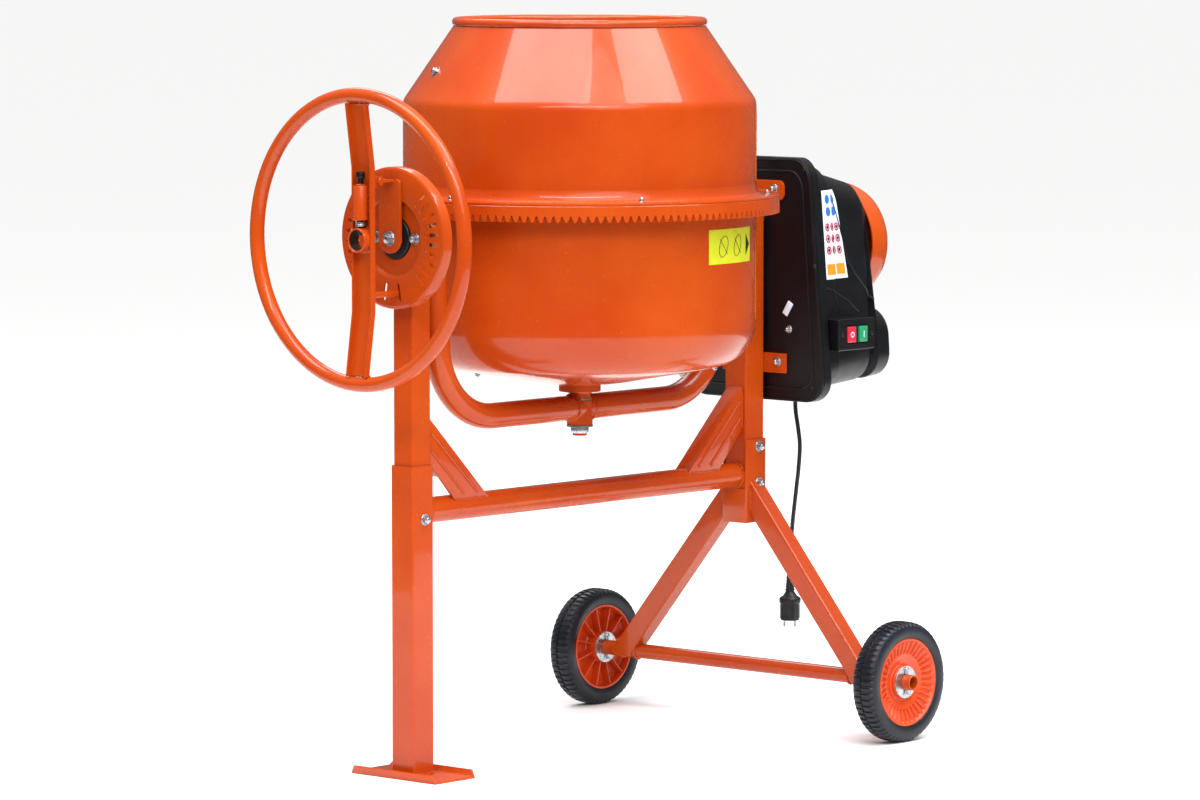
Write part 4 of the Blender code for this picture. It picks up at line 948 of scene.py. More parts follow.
# ---------------------------------------------------------------- yoke
def build_yoke():
    bend, lean = 0.135, 0.008
    centre = YOKE_X - lean - bend
    for name, node, side in (("front_arm", "yoke_arm_front", -1.0), ("rear_arm", "yoke_arm_rear", 1.0)):
        points = [(0.004, YOKE_Z), (0.10, YOKE_Z), (centre, YOKE_Z)]
        points += arc((centre, YOKE_Z + bend), bend, -90, 0, 28)[1:]
        points += [(YOKE_X - 0.004, 0.790), (YOKE_X, TILT_Z - 0.06), (YOKE_X, 0.927)]
        bm = sweep([(side * x, 0.0, z) for x, z in points], 0.022, 40)
        place(name, soften(bm, 0.0015, 2, 60), "orange_enamel", "tilt_yoke", (node,))
    hub = lathe(ring(0.0180, 0.0225, 0.5665, 0.6085, 0.0008), 64, True)
    place("hub_tube", hub, "orange_enamel", "tilt_yoke", ("yoke_hub",))
    beads = bmesh.new()
    for side in (-1.0, 1.0):
        join(beads, weld(0.0222, 0.0024, 61 + int(side)), moved(side * 0.0215, 0, YOKE_Z, "X"))
    place("hub_welds", beads, "orange_enamel", "tilt_yoke")
    spindle = lathe([(0.0, 0.648), (0.011, 0.648), (0.0125, 0.6465), (0.0125, 0.6377), (0.0355, 0.6377),
                     (0.0365, 0.6367), (0.0365, 0.6250), (0.0355, 0.6238), (0.0215, 0.6225),
                     (0.0200, 0.6205), (0.0200, 0.6100), (0.0125, 0.6095), (0.0125, 0.5482),
                     (0.0113, 0.5470), (0.0, 0.5470)], 64)
    place("drum_stub_axle", spindle, "orange_enamel", "drum", ("drum_spindle",))
    dark = bmesh.new()
    join(dark, lathe(ring(0.0130, 0.0215, 0.6087, 0.6124, 0.0005), 48, True))
    join(dark, lathe(ring(0.0130, 0.0230, 0.5625, 0.5662, 0.0005), 48, True))
    place("hub_washers", dark, "bare_steel", "drum")
    nut = hex_bolt(0.0290, 0.0112)
    bm_at(nut, Matrix.Translation((0, 0, 0.5623)) @ Matrix.Rotation(math.pi, 4, "X"))
    place("stub_axle_nut", nut, "zinc_plate", "drum", ("spindle_nut",))
    # the trunnion that runs in the front bearing
    front = lathe(rod(0.0150, -0.4664, -0.3883, 0.001), 48)
    place("front_trunnion_bar", bm_at(front, moved(0, 0, TILT_Z, "X")), "bare_steel", "tilt_yoke",
          ("trunnion_front",))


def build_drive_arm():
    """Strap from the trunnion to the handwheel's hinge."""
    t, x = 0.005, -0.4667
    half, lobe, top = 0.0235, 0.0255, HINGE_Z + 0.0025 - TILT_Z
    outline = arc((0.0, 0.0), lobe, 192, 348, 28) + [(half, top - 0.006)]
    outline += arc((half - 0.008, top - 0.008), 0.008, 0, 90, 5)[1:]
    outline += arc((-half + 0.008, top - 0.008), 0.008, 90, 180, 5) + [(-half, top - 0.010)]
    turn = Matrix(((0, 0, 1, 0), (1, 0, 0, 0), (0, 1, 0, 0), (0, 0, 0, 1)))
    bm = bm_at(slab(outline, t, 0.0022, 4), Matrix.Translation((x - t / 2, 0, TILT_Z)) @ turn)
    join(bm, block((HINGE_X + 0.002, -0.0115, HINGE_Z - 0.0025), (x - 0.001, 0.0115, HINGE_Z + 0.0025), 0.0008))
    join(bm, lathe(ring(0.0043, 0.0080, -0.0115, 0.0115), 32, True), moved(HINGE_X, 0, HINGE_Z, "Y"))
    place("tilt_arm", bm, "orange_enamel", "tilt_yoke", ("drive_arm",), weighted=True)
    pin = bmesh.new()
    join(pin, lathe(rod(0.0040, -0.0205, 0.0205, 0.0006), 24), moved(HINGE_X, 0, HINGE_Z, "Y"))
    join(pin, lathe(rod(0.0062, -0.0209, -0.0188, 0.0005), 24), moved(HINGE_X, 0, HINGE_Z, "Y"))
    place("hinge_rivet", pin, "orange_enamel", "tilt_yoke", ("hinge_pin",))
    out = Matrix.Rotation(-math.pi / 2, 4, "Y")
    head = hex_bolt(0.0165, 0.0065, 0.0125, True)
    bm_at(head, Matrix.Translation((x - t, 0, TILT_Z)) @ out)
    place("arm_screw", head, "zinc_plate", "tilt_yoke", ("arm_bolt",))


# ---------------------------------------------------------------- handwheel
def spoke_x(z):
    """Middle of the spoke's web: flat in the middle, then straight out to the rim."""
    reach = abs(z - TILT_Z)
    flat, end = 0.120, 0.2275
    share = max(reach - flat, 0.0) / (end - flat)
    return WHEEL_X + 0.0155 * (1.0 - share)


def build_handwheel():
    circle = arc((WHEEL_R, WHEEL_X), 0.0125, 0, 345, 23)
    bm = lathe(circle, 144, True)
    place("handwheel_ring", bm_at(bm, moved(0, 0, TILT_Z, "X")), "orange_enamel", "handwheel",
          ("handwheel_rim",), smooth=60.0)

    half, skin_t, lip = 0.0225, 0.003, 0.012
    section = [(0.0, half - 0.002), (-0.002, half), (-lip, half), (-lip, half - skin_t),
               (-skin_t - 0.001, half - skin_t), (-skin_t, half - skin_t - 0.001),
               (-skin_t, -half + skin_t + 0.001), (-skin_t - 0.001, -half + skin_t),
               (-lip, -half + skin_t), (-lip, -half), (-0.002, -half), (0.0, -half + 0.002)]
    levels = [-0.2268, -0.18, -0.128, -0.120, -0.112, -0.06, 0.0, 0.06, 0.112, 0.120, 0.128, 0.18, 0.2268]
    bm = bmesh.new()
    verts = [bm.verts.new((spoke_x(TILT_Z + levels[0]) + 0.0015 + dx, y, TILT_Z + levels[0]))
             for dx, y in section]
    edges = [bm.edges.new((verts[k], verts[(k + 1) % len(verts)])) for k in range(len(verts))]
    for low, high in zip(levels, levels[1:]):
        grown = bmesh.ops.extrude_edge_only(bm, edges=edges)["geom"]
        fresh = [g for g in grown if isinstance(g, bmesh.types.BMVert)]
        kept = set(fresh)
        edges = [g for g in grown if isinstance(g, bmesh.types.BMEdge)
                 and g.verts[0] in kept and g.verts[1] in kept]
        bmesh.ops.translate(bm, vec=(spoke_x(TILT_Z + high) - spoke_x(TILT_Z + low), 0, high - low),
                            verts=fresh)
    bmesh.ops.holes_fill(bm, edges=bm.edges)
    settle(bm)
    spoke = place("handwheel_spoke_channel", bm, "orange_enamel", "handwheel", ("handwheel_spoke",),
                  weighted=True)
    carve(spoke, bm_at(lathe(rod(0.0174, -0.545, -0.51)), moved(0, 0, TILT_Z, "X")))
    bm = bmesh.new()
    for side in (-1.0, 1.0):
        ear = slab([(0.008, -0.008), (0.008, 0.008), (-0.020, 0.012), (-0.020, -0.012)], 0.004, 0.0008)
        join(bm, ear, Matrix.Translation((HINGE_X, side * 0.0145, HINGE_Z))
             @ Matrix.Rotation(math.pi / 2, 4, "X"))
    join(bm, lathe(ring(0.0175, 0.0205, -0.5510, -0.5265, 0.0006), 64, True), moved(0, 0, TILT_Z, "X"))
    sleeve = [(0.0064, 1.0035), (0.0080, 1.0035), (0.0085, 1.0030), (0.0085, 1.0008), (0.0118, 1.0006),
              (0.0125, 0.9995), (0.0125, 0.9440), (0.0118, 0.9432), (0.0064, 0.9432)]
    join(bm, lathe(sleeve, 48, True), moved(LATCH_X, 0, 0))
    place("handwheel_fittings", bm, "orange_enamel", "handwheel")
    # dark sleeve inside the hub tube: painted shade for the shadow deep in the bore
    bore_shade_sleeve = lathe(ring(0.0166, 0.01755, -0.5498, -0.5285, 0.0002), 48, True)
    place("hub_tube_bore", bm_at(bore_shade_sleeve, moved(0, 0, TILT_Z, "X")), "dark_steel_and_bore_shade", "handwheel")

    beads = bmesh.new()
    for side in (-1.0, 1.0):
        z = TILT_Z + side * 0.2262
        join(beads, seam((WHEEL_X + 0.001, -0.0215, z - side * 0.0008), (WHEEL_X + 0.001, 0.0215, z - side * 0.0008),
                         0.0026, 71 + int(side)))
        join(beads, seam((WHEEL_X - 0.0085, -0.0218, z - side * 0.0005), (WHEEL_X + 0.001, -0.0218, z - side * 0.0005),
                         0.0024, 81 + int(side)))
    join(beads, weld(0.0210, 0.0020, 91, 64), moved(-0.5310, 0, TILT_Z, "X"))
    for side in (-1.0, 1.0):
        join(beads, seam((-0.5312, side * 0.0118, 0.946), (-0.5312, side * 0.0118, 0.997), 0.0018, 95 + int(side)))
    place("handwheel_welds", beads, "orange_enamel", "handwheel")

    coil = []
    turns, per = 3.5, 20
    for k in range(int(turns * per) + 1):
        angle = 2 * math.pi * k / per
        coil.append((LATCH_X + 0.0082 * math.cos(angle), 0.0082 * math.sin(angle),
                     0.9318 + 0.0105 * k / (turns * per)))
    place("latch_coil", sweep(coil, 0.0011, 10), "zinc_plate", "handwheel", ("latch_spring",))
    knob = [(0.0, 1.0238), (0.0052, 1.0238), (0.0068, 1.0228), (0.0074, 1.0205), (0.0074, 1.0150),
            (0.0064, 1.0128), (0.0048, 1.0120), (0.0046, 1.0060), (0.0055, 1.0052), (0.0055, 0.9205),
            (0.0040, 0.9182), (0.0, 0.9180)]
    place("latch_knob", bm_at(lathe(knob, 40), moved(LATCH_X, 0, 0)), "black_polypropylene", "latch",
          ("latch_plunger",))
    dressed("lock_prongs", "lock_lug", "orange_enamel", "handwheel", 0.0006)


# ---------------------------------------------------------------- drive housing
def station_at(x):
    """Cover section at a distance along X."""
    for low, high in zip(COVER_STATIONS, COVER_STATIONS[1:]):
        if low[0] <= x <= high[0]:
            share = (x - low[0]) / (high[0] - low[0])
            return [a + (b - a) * share for a, b in zip(low, high)]
    return list(COVER_STATIONS[-1])


def taper(z):
    """The housing narrows towards its top."""
    return 1.0 - 0.23 * min(max((z - 0.600) / 0.414, 0.0), 1.0)


def narrow(bm):
    for vert in bm.verts:
        vert.co.y *= taper(vert.co.z)
    return bm


def cover_side(x, z, lift=0.0):
    """Y of the cover's near side at a point, with a small lift off the surface."""
    _, half, low, high, radius = station_at(x)
    over = max(z - (high - radius), (low + radius) - z, 0.0)
    over = min(over, radius * 0.98)
    return -(half - radius + math.sqrt(radius * radius - over * over)) * taper(z) - lift


def build_cover():
    bm = bmesh.new()
    loops = []
    for x, half, low, high, radius in COVER_STATIONS:
        made = [bm.verts.new((x, y, z + (high + low) / 2))
                for y, z in rounded(half, (high - low) / 2, radius, 10)]
        loops.append([bm.edges.new((made[k], made[(k + 1) % len(made)])) for k in range(len(made))])
    for here, there in zip(loops, loops[1:]):
        bmesh.ops.bridge_loops(bm, edges=here + there)
    bmesh.ops.holes_fill(bm, edges=[e for e in bm.edges if e.is_boundary])
    settle(bm)
    soften(bm, 0.0022, 3, 22.0)
    place("housing_shell", narrow(bm), "black_polypropylene", "frame", ("housing_cover",),
          smooth=30.0, weighted=True)

    half_z, middle = 0.217, 0.797
    turn = Matrix(((0, 0, 1, 0), (1, 0, 0, 0), (0, 1, 0, 0), (0, 0, 0, 1)))
    plate = bm_at(slab(rounded(0.160, half_z, 0.044, 12), 0.004, 0.0012, 3),
                  Matrix.Translation((PLATE_X + 0.002, 0, middle)) @ turn)
    place("housing_back", narrow(plate), "black_polypropylene", "frame", ("back_plate",),
          weighted=True)
    beads = bmesh.new()
    for inset, size in ((0.024, 0.0022), (0.0035, 0.0018)):
        route = [(PLATE_X + 0.0003, y, z + middle)
                 for y, z in rounded(0.160 - inset, half_z - inset, 0.044 - inset * 0.4, 10)]
        route.append(route[0])
        join(beads, sweep(route, size, 8, False))
    place("housing_back_beads", narrow(beads), "black_polypropylene", "frame")

    ribs = bmesh.new()
    for path, size in ((((0.5000, 0.7835), (0.5250, 0.7780), (0.5448, 0.7710), (0.5834, 0.7553), (0.6125, 0.7348)),
                        0.0022),
                       (((0.5878, 0.8249), (0.6080, 0.8030), (0.6315, 0.7822), (0.6640, 0.7530)), 0.0026),
                       (((0.5460, 0.9350), (0.5568, 0.9104), (0.5720, 0.8680), (0.5878, 0.8249)), 0.0022)):
        route = []
        for (x0, z0), (x1, z1) in zip(path, path[1:]):
            route += [(x0 + (x1 - x0) * k / 4, z0 + (z1 - z0) * k / 4) for k in range(4)]
        route.append(path[-1])
        join(ribs, sweep([(x, cover_side(x, z, -size * 0.35), z) for x, z in route], size, 10))
    place("housing_ribs", ribs, "black_polypropylene", "frame")

    end = 0.7350
    cap = [(0.0, end), (0.030, end - 0.0002), (0.050, end - 0.0010), (0.070, end - 0.0034),
           (0.086, end - 0.0078), (0.096, end - 0.0138), (0.1030, end - 0.0220), (0.1068, end - 0.0320),
           (0.1080, end - 0.0430), (0.1080, 0.6658), (0.1055, 0.6658), (0.1055, end - 0.0420),
           (0.0960, end - 0.0200), (0.060, end - 0.0060), (0.0, end - 0.0030)]
    bm = bm_at(lathe(cap, 144), moved(0, 0, CAP_Z, "X"))
    cut = bmesh.ops.bisect_plane(bm, geom=bm.verts[:] + bm.edges[:] + bm.faces[:],
                                 plane_co=(0, 0, 0.7372), plane_no=(0, 0, -1), clear_outer=True)["geom_cut"]
    bmesh.ops.holes_fill(bm, edges=[g for g in cut if isinstance(g, bmesh.types.BMEdge)])
    settle(bm)
    place("motor_dome", bm, "orange_enamel", "frame", ("motor_cap",))

    screws = bmesh.new()
    out = Matrix.Rotation(-math.pi / 2, 4, "Y")
    for side in (-1.0, 1.0):
        for y, z in ((0.112, 0.995), (0.136, 0.823), (0.131, 0.6055)):
            join(screws, pan_screw(0.0040, 0.0022), Matrix.Translation((PLATE_X + 0.0002, side * y, z)) @ out)
    place("housing_screws", screws, "dark_steel_and_bore_shade", "frame")


def build_brackets():
    """Straps from the rear upright to the housing's back plate."""
    for name, node, low, high, half, corner in (
            ("housing_strap_upper", "housing_bracket_upper", 0.937, 0.973, 0.068, 0.0120),
            ("housing_strap_lower", "housing_bracket_lower", 0.6295, 0.665, 0.074, 0.0020)):
        turn = Matrix(((0, 0, 1, 0), (1, 0, 0, 0), (0, 1, 0, 0), (0, 0, 0, 1)))
        bm = slab(rounded(half, (high - low) / 2, corner, 6), 0.0052, 0.0008)
        bm_at(bm, Matrix.Translation((0.4650, 0, (low + high) / 2)) @ turn)
        place(name, bm, "orange_enamel", "frame", (node,), weighted=True)
    tab = bm_at(block((0.4655, -0.0060, -0.0130), (0.4678, 0.0060, 0.0130), 0.0004),
                Matrix.Translation((0, -0.076, 0.7455)) @ Matrix.Rotation(math.radians(32), 4, "X"))
    place("cable_tab", tab, "white_film", "frame")


def build_switch():
    """Switch box with its frame, two buttons and two screws."""
    low, high = (0.4975, -0.1690, 0.672), (0.5975, -0.110, 0.728)
    bm = block(low, high, 0.0025, 3)
    box = place("switch_case", bm, "black_polypropylene", "frame", ("switch_box",),
                weighted=True)
    pocket = block((0.5195, -0.175, 0.6838), (0.5757, -0.1655, 0.7162), 0)
    carve(box, pocket)
    bezel = block((0.5205, -0.1670, 0.6845), (0.5747, -0.1640, 0.7155), 0.0006)
    place("switch_bezel", bezel, "black_pvc", "frame")
    for name, node, x, material in (("stop_key", "stop_button", 0.5315, "red_button_plastic"),
                                    ("start_key", "start_button", 0.5635, "green_button_plastic")):
        bm = block((x - 0.0105, -0.1722, 0.6860), (x + 0.0105, -0.1605, 0.7140), 0.0014, 3)
        place(name, bm, material, node, (node,))
        mark = bmesh.new()
        if "start" in name:
            join(mark, block((x - 0.0009, -0.17245, 0.6945), (x + 0.0009, -0.17200, 0.7055), 0.0002))
        else:
            join(mark, lathe(ring(0.0034, 0.0050, -0.17245, -0.17200, 0.0001), 28, True),
                 moved(x, 0, 0.700, "Y"))
        place(name + "_mark", mark, "white_film", node)
    screws = bmesh.new()
    for x in (0.5065, 0.5885):
        join(screws, pan_screw(0.0036, 0.0016),
             Matrix.Translation((x, -0.1690, 0.700)) @ Matrix.Rotation(math.pi / 2, 4, "X"))
    place("switch_screws", screws, "black_pvc", "frame")


def patch(points_u, points_v, where, thickness=0.0003):
    """Thin film over a surface: a grid of points mapped by where(u, v)."""
    bm = bmesh.new()
    bmesh.ops.create_grid(bm, x_segments=points_u, y_segments=points_v, size=0.5)
    for vert in bm.verts:
        vert.co = Vector(where(vert.co.x + 0.5, vert.co.y + 0.5))
    bmesh.ops.recalc_face_normals(bm, faces=bm.faces)
    return bm


def film(name, bm, material, body, outward):
    """Give a film its thickness, facing away from the surface."""
    bmesh.ops.recalc_face_normals(bm, faces=bm.faces)
    faces = list(bm.faces)
    if sum((f.normal.dot(outward(f.calc_center_median())) for f in faces)) < 0:
        bmesh.ops.reverse_faces(bm, faces=faces)
    bmesh.ops.solidify(bm, geom=faces, thickness=0.0002)
    return place(name, bm, material, body)


def build_stickers(sizes):
    """Plain direction sticker on the drum and a label of plain coloured shapes on the housing."""
    radius = sizes.drum_radius

    def on_drum(u0, u1, v0, v1, lift):
        def where(u, v):
            angle = math.radians(-92.0 + 26.5 * (u0 + (u1 - u0) * u))
            return ((radius + lift) * math.cos(angle), (radius + lift) * math.sin(angle),
                    0.856 + 0.059 * (v0 + (v1 - v0) * v))
        return where

    def from_axis(point):
        return Vector((point.x, point.y, 0.0)).normalized()

    film("direction_sticker", patch(24, 4, on_drum(0, 1, 0, 1, 0.0003)), "yellow_film", "drum",
         from_axis)
    arrow = patch(6, 10, on_drum(0.84, 0.965, 0.2, 0.8, 0.0006))
    spots = {}
    for vert in arrow.verts:
        angle = math.degrees(math.atan2(vert.co.y, vert.co.x))
        share = ((angle + 92.0) / 26.5 - 0.84) / 0.125
        vert.co.z = 0.8855 + (vert.co.z - 0.8855) * max(1.0 - share, 0.02)
    film("direction_arrow", arrow, "black_ink", "drum", from_axis)
    lines = bmesh.new()
    for middle in (0.28, 0.60):
        loop = []
        for k in range(29):
            a = 2 * math.pi * k / 28
            du, dv = 0.085 * math.cos(a), 0.30 * math.sin(a)
            loop.append(on_drum(0, 1, 0, 1, 0.0004)(middle + du + 0.10 * (dv), 0.5 + dv))
        join(lines, sweep(loop, 0.0006, 6, False))
        cross = [on_drum(0, 1, 0, 1, 0.0004)(middle - 0.075 + 0.15 * k / 8, 0.72 - 0.44 * k / 8)
                 for k in range(9)]
        join(lines, sweep(cross, 0.0006, 6))
    place("direction_ovals", lines, "black_ink", "drum")

    def on_cover(u0, u1, v0, v1, lift):
        def where(u, v):
            share_v = v0 + (v1 - v0) * v
            share_u = u0 + (u1 - u0) * u
            left = 0.5080 + 0.0010 * (1 - share_v)
            right = 0.5835 - 0.0285 * share_v
            x = left + (right - left) * share_u
            z = 0.797 + 0.158 * share_v
            return (x, cover_side(x, z, lift), z)
        return where

    def near_side(point):
        return Vector((0.0, -1.0, 0.0))

    film("housing_label", patch(18, 30, on_cover(0, 1, 0, 1, 0.0006)), "white_film", "frame", near_side)

    def dot(u, v, radius_v, inner, lift):
        made = bmesh.new()
        loops = []
        for share in ((1.0, 0.62) if inner else (1.0, 0.02)):
            loops.append([made.verts.new(on_cover(0, 1, 0, 1, lift)(
                u + share * radius_v * 0.158 / 0.062 * math.cos(2 * math.pi * k / 24),
                v + share * radius_v * math.sin(2 * math.pi * k / 24))) for k in range(24)])
        for k in range(24):
            made.faces.new((loops[0][k], loops[0][(k + 1) % 24], loops[1][(k + 1) % 24], loops[1][k]))
        return made

    blue = bmesh.new()
    for u in (0.32, 0.72):
        for v in (0.90, 0.76):
            join(blue, dot(u, v, 0.052, False, 0.0011))
    film("label_discs", blue, "blue_ink", "frame", near_side)
    red = bmesh.new()
    for u in (0.22, 0.52, 0.82):
        for v in (0.585, 0.455, 0.325):
            join(red, dot(u * 0.96, v, 0.047, True, 0.0011))
    film("label_rings", red, "red_ink", "frame", near_side)
    grey = bmesh.new()
    for u in (0.22, 0.52, 0.82):
        for v in (0.585, 0.455, 0.325):
            join(grey, dot(u * 0.96, v, 0.020, False, 0.0011))
    film("label_centres", grey, "black_ink", "frame", near_side)
    amber = bmesh.new()
    for u0, u1 in ((0.06, 0.50), (0.56, 0.92)):
        join(amber, patch(6, 4, on_cover(u0, u1, 0.05, 0.17, 0.0011)))
    film("label_bars", amber, "amber_ink", "frame", near_side)


# ---------------------------------------------------------------- drive
def build_pinion():
    """Bevel pinion under the ring's rear edge."""
    dressed("drive_gear", "drive_pinion", "bare_steel", "pinion", 0.0004, 1)


# ---------------------------------------------------------------- cord
def smooth_route(points, count):
    """Points spread evenly along a smooth curve through the given ones."""
    knots = [Vector(point) for point in points]
    dense = []
    for k in range(len(knots) - 1):
        before = knots[max(k - 1, 0)]
        start, end = knots[k], knots[k + 1]
        after = knots[min(k + 2, len(knots) - 1)]
        for j in range(20):
            t = j / 20
            dense.append(0.5 * (2 * start + (end - before) * t
                                + (2 * before - 5 * start + 4 * end - after) * t * t
                                + (3 * start - before - 3 * end + after) * t ** 3))
    dense.append(knots[-1])
    run = [0.0]
    for a, b in zip(dense, dense[1:]):
        run.append(run[-1] + (b - a).length)
    route = []
    k = 0
    for j in range(count):
        goal = run[-1] * j / (count - 1)
        while k < len(run) - 2 and run[k + 1] < goal:
            k += 1
        part = (goal - run[k]) / (run[k + 1] - run[k])
        route.append(dense[k].lerp(dense[k + 1], part))
    return route


def build_cord():
    """Flexible mains cord that hangs from the housing's gland, with its moulded plug."""
    radius = 0.0038
    route = smooth_route(CORD_ROUTE, 90)
    route = [point + Vector((DRUM_X, 0, 0)) for point in route]
    curve = bpy.data.curves.new("mains_cord", "CURVE")
    curve.dimensions = "3D"
    spline = curve.splines.new("POLY")
    spline.points.add(len(route) - 1)
    for point, target in zip(spline.points, route):
        point.co = (*target, 1.0)
    curve.bevel_depth = radius
    curve.bevel_resolution = 5
    curve.use_fill_caps = True
    cord = bpy.data.objects.new("mains_cord", curve)
    bpy.context.scene.collection.objects.link(cord)
    curve.materials.append(MADE["black_pvc"])
    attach(cord, "frame")
    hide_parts("power_cord")

    x, y, _ = CORD_ROUTE[0]
    gland = [(0.0, 0.5962), (0.0110, 0.5962), (0.0110, 0.5875), (0.0100, 0.5858), (0.0085, 0.5850)]
    for k in range(4):
        z = 0.5835 - 0.0035 * k
        gland += [(0.0082 - 0.0006 * k, z), (0.0070 - 0.0005 * k, z - 0.0008),
                  (0.0070 - 0.0005 * k, z - 0.0020), (0.0080 - 0.0006 * k, z - 0.0028)]
    gland += [(0.0048, 0.5698), (0.0, 0.5698)]
    place("cord_gland", bm_at(lathe(gland, 40), moved(x, y, 0)), "black_pvc", "frame", ("cable_gland",))

    x, y, z = CORD_ROUTE[-1]
    top = z - 0.0003
    body = [(0.0, top), (0.0055, top), (0.0062, top - 0.0015)]
    for k in range(5):
        step = top - 0.004 - 0.0052 * k
        body += [(0.0068 + 0.0005 * k, step), (0.0068 + 0.0005 * k, step - 0.0026),
                 (0.0060 + 0.0005 * k, step - 0.0032), (0.0060 + 0.0005 * k, step - 0.0046)]
    body += [(0.0100, top - 0.0330), (0.0130, top - 0.0370), (0.0185, top - 0.0405), (0.0195, top - 0.0425),
             (0.0195, top - 0.0485), (0.0186, top - 0.0505), (0.0176, top - 0.0515), (0.0174, top - 0.0800),
             (0.0165, top - 0.0815), (0.0, top - 0.0818)]
    bm = lathe(body, 56)
    for k in range(14):
        angle = 2 * math.pi * k / 14
        rib = block((-0.0012, 0.0165, top - 0.0780), (0.0012, 0.0182, top - 0.0530), 0.0005, 1)
        join(bm, rib, Matrix.Rotation(angle, 4, "Z"))
    plug = place("mains_plug", bm_at(bm, moved(x, y, 0)), "black_pvc", "frame", ("power_plug",))
    pins = bmesh.new()
    for side in (-1.0, 1.0):
        along = side * 0.0095
        at = (x + along * math.cos(PLUG_TURN), y + along * math.sin(PLUG_TURN), 0.0)
        join(pins, lathe([(0.0, top - 0.080), (0.0024, top - 0.080), (0.0024, top - 0.0928),
                          (0.0016, top - 0.0943), (0.0, top - 0.0945)], 24), Matrix.Translation(at))
    brass = place("plug_pins", pins, "zinc_plate", "frame")


# ---------------------------------------------------------------- stage
def build_stage():
    """Pale floor, soft lights and the camera."""
    scene = bpy.context.scene
    scene.view_settings.view_transform = "Standard"
    made, tree, shader = start_material("studio_floor", roughness=0.95, specular_ior_level=0.0)
    shader.inputs["Base Color"].default_value = (*linear("#F6F6F6"), 1.0)
    # a round floor that runs on behind the mixer
    away = math.radians(42.0)
    rim = [(3.0 * math.cos(away + math.radians(a)), 3.0 * math.sin(away + math.radians(a)))
           for a in range(30, 331, 10)]
    rim += [(170.0 * math.cos(away + math.radians(a)), 170.0 * math.sin(away + math.radians(a)))
            for a in (-9, 0, 9)]
    bm = bmesh.new()
    bm.faces.new([bm.verts.new((x, y, -0.0006)) for x, y in rim])
    mesh = bpy.data.meshes.new("studio_floor")
    bm.to_mesh(mesh)
    bm.free()
    mesh.materials.append(made)
    floor = bpy.data.objects.new("studio_floor", mesh)
    scene.collection.objects.link(floor)

    # a bright ceiling and dim walls, so that upright faces keep their colour
    world = bpy.data.worlds.new("studio")
    scene.world = world
    world.use_nodes = True
    tree = world.node_tree
    at = add_node(tree, "ShaderNodeTexCoord")
    parts = add_node(tree, "ShaderNodeSeparateXYZ", {"Vector": (at, "Generated")})
    ramp = add_node(tree, "ShaderNodeValToRGB", {"Fac": (parts, "Z")})
    for place_on, code in ((0.04, "#72706E"), (0.34, "#908E8C")):
        stop = ramp.color_ramp.elements.new(place_on)
        stop.color = (*linear(code), 1.0)
    ramp.color_ramp.elements[0].color = (*linear("#72706E"), 1.0)
    ramp.color_ramp.elements[-1].color = (*linear("#FFFFFF"), 1.0)
    tree.links.new(ramp.outputs["Color"], tree.nodes["Background"].inputs["Color"])
    tree.nodes["Background"].inputs["Strength"].default_value = 1.0

    def lamp(name, kind, at, aim, energy, size=(1.0, 1.0), tint="#FFFFFF", angle=0.0, turn=None):
        data = bpy.data.lights.new(name, kind)
        data.energy = energy
        data.color = linear(tint)
        if kind == "AREA":
            data.shape = "RECTANGLE"
            data.size, data.size_y = size
        else:
            data.angle = angle
        made_lamp = bpy.data.objects.new(name, data)
        scene.collection.objects.link(made_lamp)
        made_lamp.location = at
        heading = Vector(aim) - Vector(at)
        made_lamp.rotation_euler = heading.to_track_quat("-Z", "Y").to_euler()
        if turn is not None:
            made_lamp.rotation_euler = (0.0, 0.0, turn)

    lamp("soft_sun", "SUN", (-2.6, -5.0, 5.4), (0.0, 0.0, 0.6), 1.75, angle=math.radians(50))
    # two long ceiling panels give the broad bands on the cone, and a strip the line on the shoulder
    lamp("ceiling_panel_left", "AREA", (-1.85, 0.20, 5.2), (-1.85, 0.20, 0.0), 270.0, (4.1, 2.0),
         turn=math.radians(-68.8))
    lamp("ceiling_panel_right", "AREA", (1.23, -2.55, 5.2), (1.23, -2.55, 0.0), 200.0, (3.0, 2.0),
         turn=math.radians(-9.4))
    lamp("front_strip", "AREA", (-3.3, -3.0, 4.0), (-0.1, 0.0, 1.1), 120.0, (4.6, 0.22))
    lamp("back_panel", "AREA", (2.4, 3.4, 5.0), (-0.1, 0.0, 0.9), 90.0, (2.4, 2.4))

    view = bpy.data.cameras.new("camera")
    view.lens = 176.2
    view.sensor_width = 36.0
    view.clip_end = 400.0
    camera = bpy.data.objects.new("camera", view)
    scene.collection.objects.link(camera)
    camera.location = (-7.4923 + DRUM_X, -6.8110, 1.507)
    camera.rotation_euler = (math.radians(90.0 - 5.0722), 0.0, math.radians(42.0748 - 90.0))
    scene.camera = camera


# ---------------------------------------------------------------- operators and panel
def make_operator(label, words, work):
    """An operator class for one group of pieces; work(colours, sizes) builds it."""
    name = "MIXER_OT_" + label

    def execute(self, context):
        work(context.scene.mixer_colours, context.scene.mixer_sizes)
        return {"FINISHED"}

    return type(name, (bpy.types.Operator,), {
        "__doc__": words, "bl_idname": "mixer." + label,
        "bl_label": label.replace("_", " ").capitalize(), "execute": execute})


def all_materials(colours, sizes):
    make_enamel(colours)
    make_metals(colours)
    make_dark_steel(colours)
    make_plastics(colours)
    make_rubbers(colours)
    make_films(colours)


def drum_pieces(colours, sizes):
    build_drum(sizes)
    build_drum_details(sizes)
    build_ring_gear(sizes)


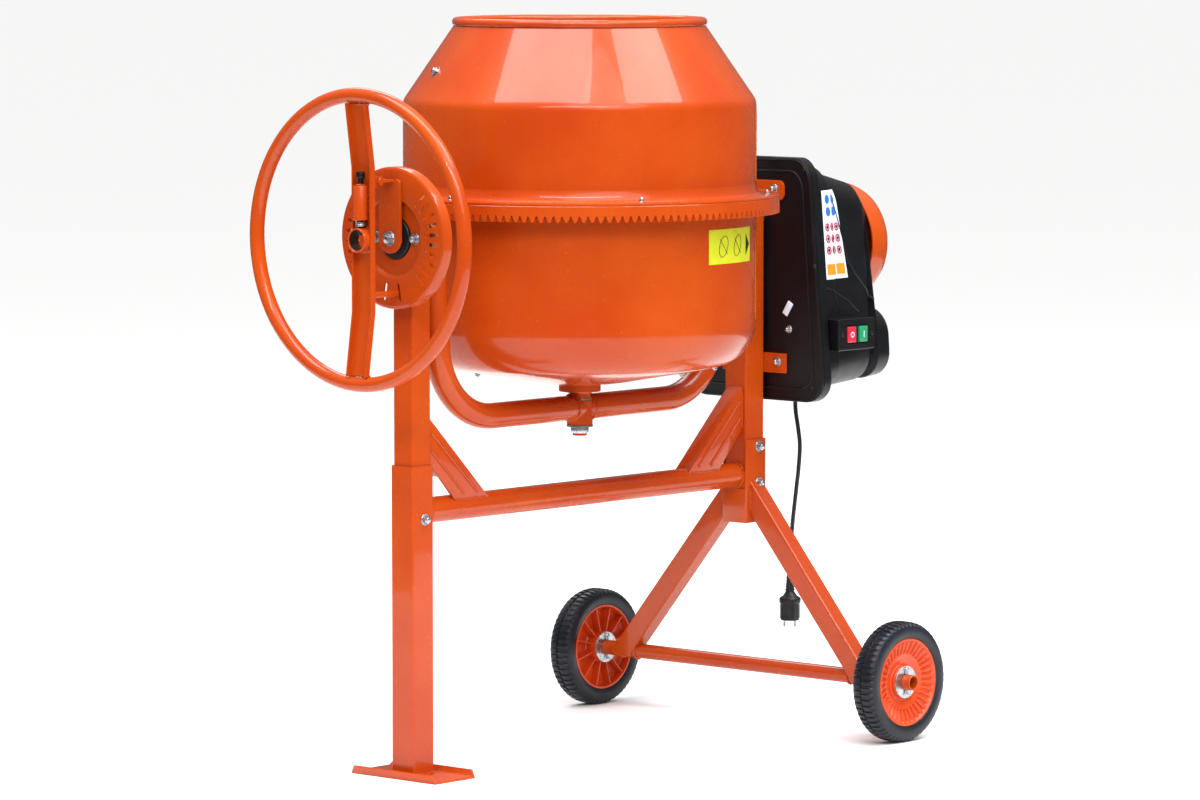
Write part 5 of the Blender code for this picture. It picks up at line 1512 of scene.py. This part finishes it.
def frame_pieces(colours, sizes):
    build_posts(sizes)
    build_crossbar()
    build_gussets()
    build_leg_frame(sizes)
    build_frame_bolts()


def tilt_pieces(colours, sizes):
    build_front_bearing()
    build_lock_disc()
    build_yoke()
    build_drive_arm()


def housing_pieces(colours, sizes):
    build_cover()
    build_brackets()
    build_switch()
    build_pinion()


STEPS = (
    ("materials", "Make every finish", all_materials),
    ("stage", "Floor, lights and camera", lambda colours, sizes: build_stage()),
    ("cord", "Cord, gland and plug", lambda colours, sizes: build_cord()),
    ("drum", "Drum, flange, ring and blades", drum_pieces),
    ("frame", "Posts, crossbar, struts and legs", frame_pieces),
    ("wheels", "Road wheels, washers and pins", lambda colours, sizes: build_wheels(sizes)),
    ("tilt", "Lock disc, bearings, yoke and arm", tilt_pieces),
    ("handwheel", "Handwheel, latch and lug", lambda colours, sizes: build_handwheel()),
    ("housing", "Cover, brackets, switch and pinion", housing_pieces),
    ("stickers", "Sticker and label", lambda colours, sizes: build_stickers(sizes)),
)
OPERATORS = [make_operator(label, words, work) for label, words, work in STEPS]


class MIXER_PT_panel(bpy.types.Panel):
    """Buttons that build the mixer, group by group"""
    bl_label = "Concrete mixer"
    bl_idname = "MIXER_PT_panel"
    bl_space_type = "VIEW_3D"
    bl_region_type = "UI"
    bl_category = "Mixer"

    def draw(self, context):
        for made in OPERATORS:
            self.layout.operator(made.bl_idname)


CLASSES = [MixerColours, MixerSizes, *OPERATORS, MIXER_PT_panel]


def register():
    for made in CLASSES:
        bpy.utils.register_class(made)
    bpy.types.Scene.mixer_colours = PointerProperty(type=MixerColours)
    bpy.types.Scene.mixer_sizes = PointerProperty(type=MixerSizes)


def unregister():
    del bpy.types.Scene.mixer_sizes
    del bpy.types.Scene.mixer_colours
    for made in reversed(CLASSES):
        bpy.utils.unregister_class(made)


def main():
    register()
    for old in [o for o in bpy.data.objects if o.type in {"CAMERA", "LIGHT"}]:
        bpy.data.objects.remove(old, do_unlink=True)
    for label, _, _ in STEPS:
        getattr(bpy.ops.mixer, label)()


if __name__ == "__main__":
    main()
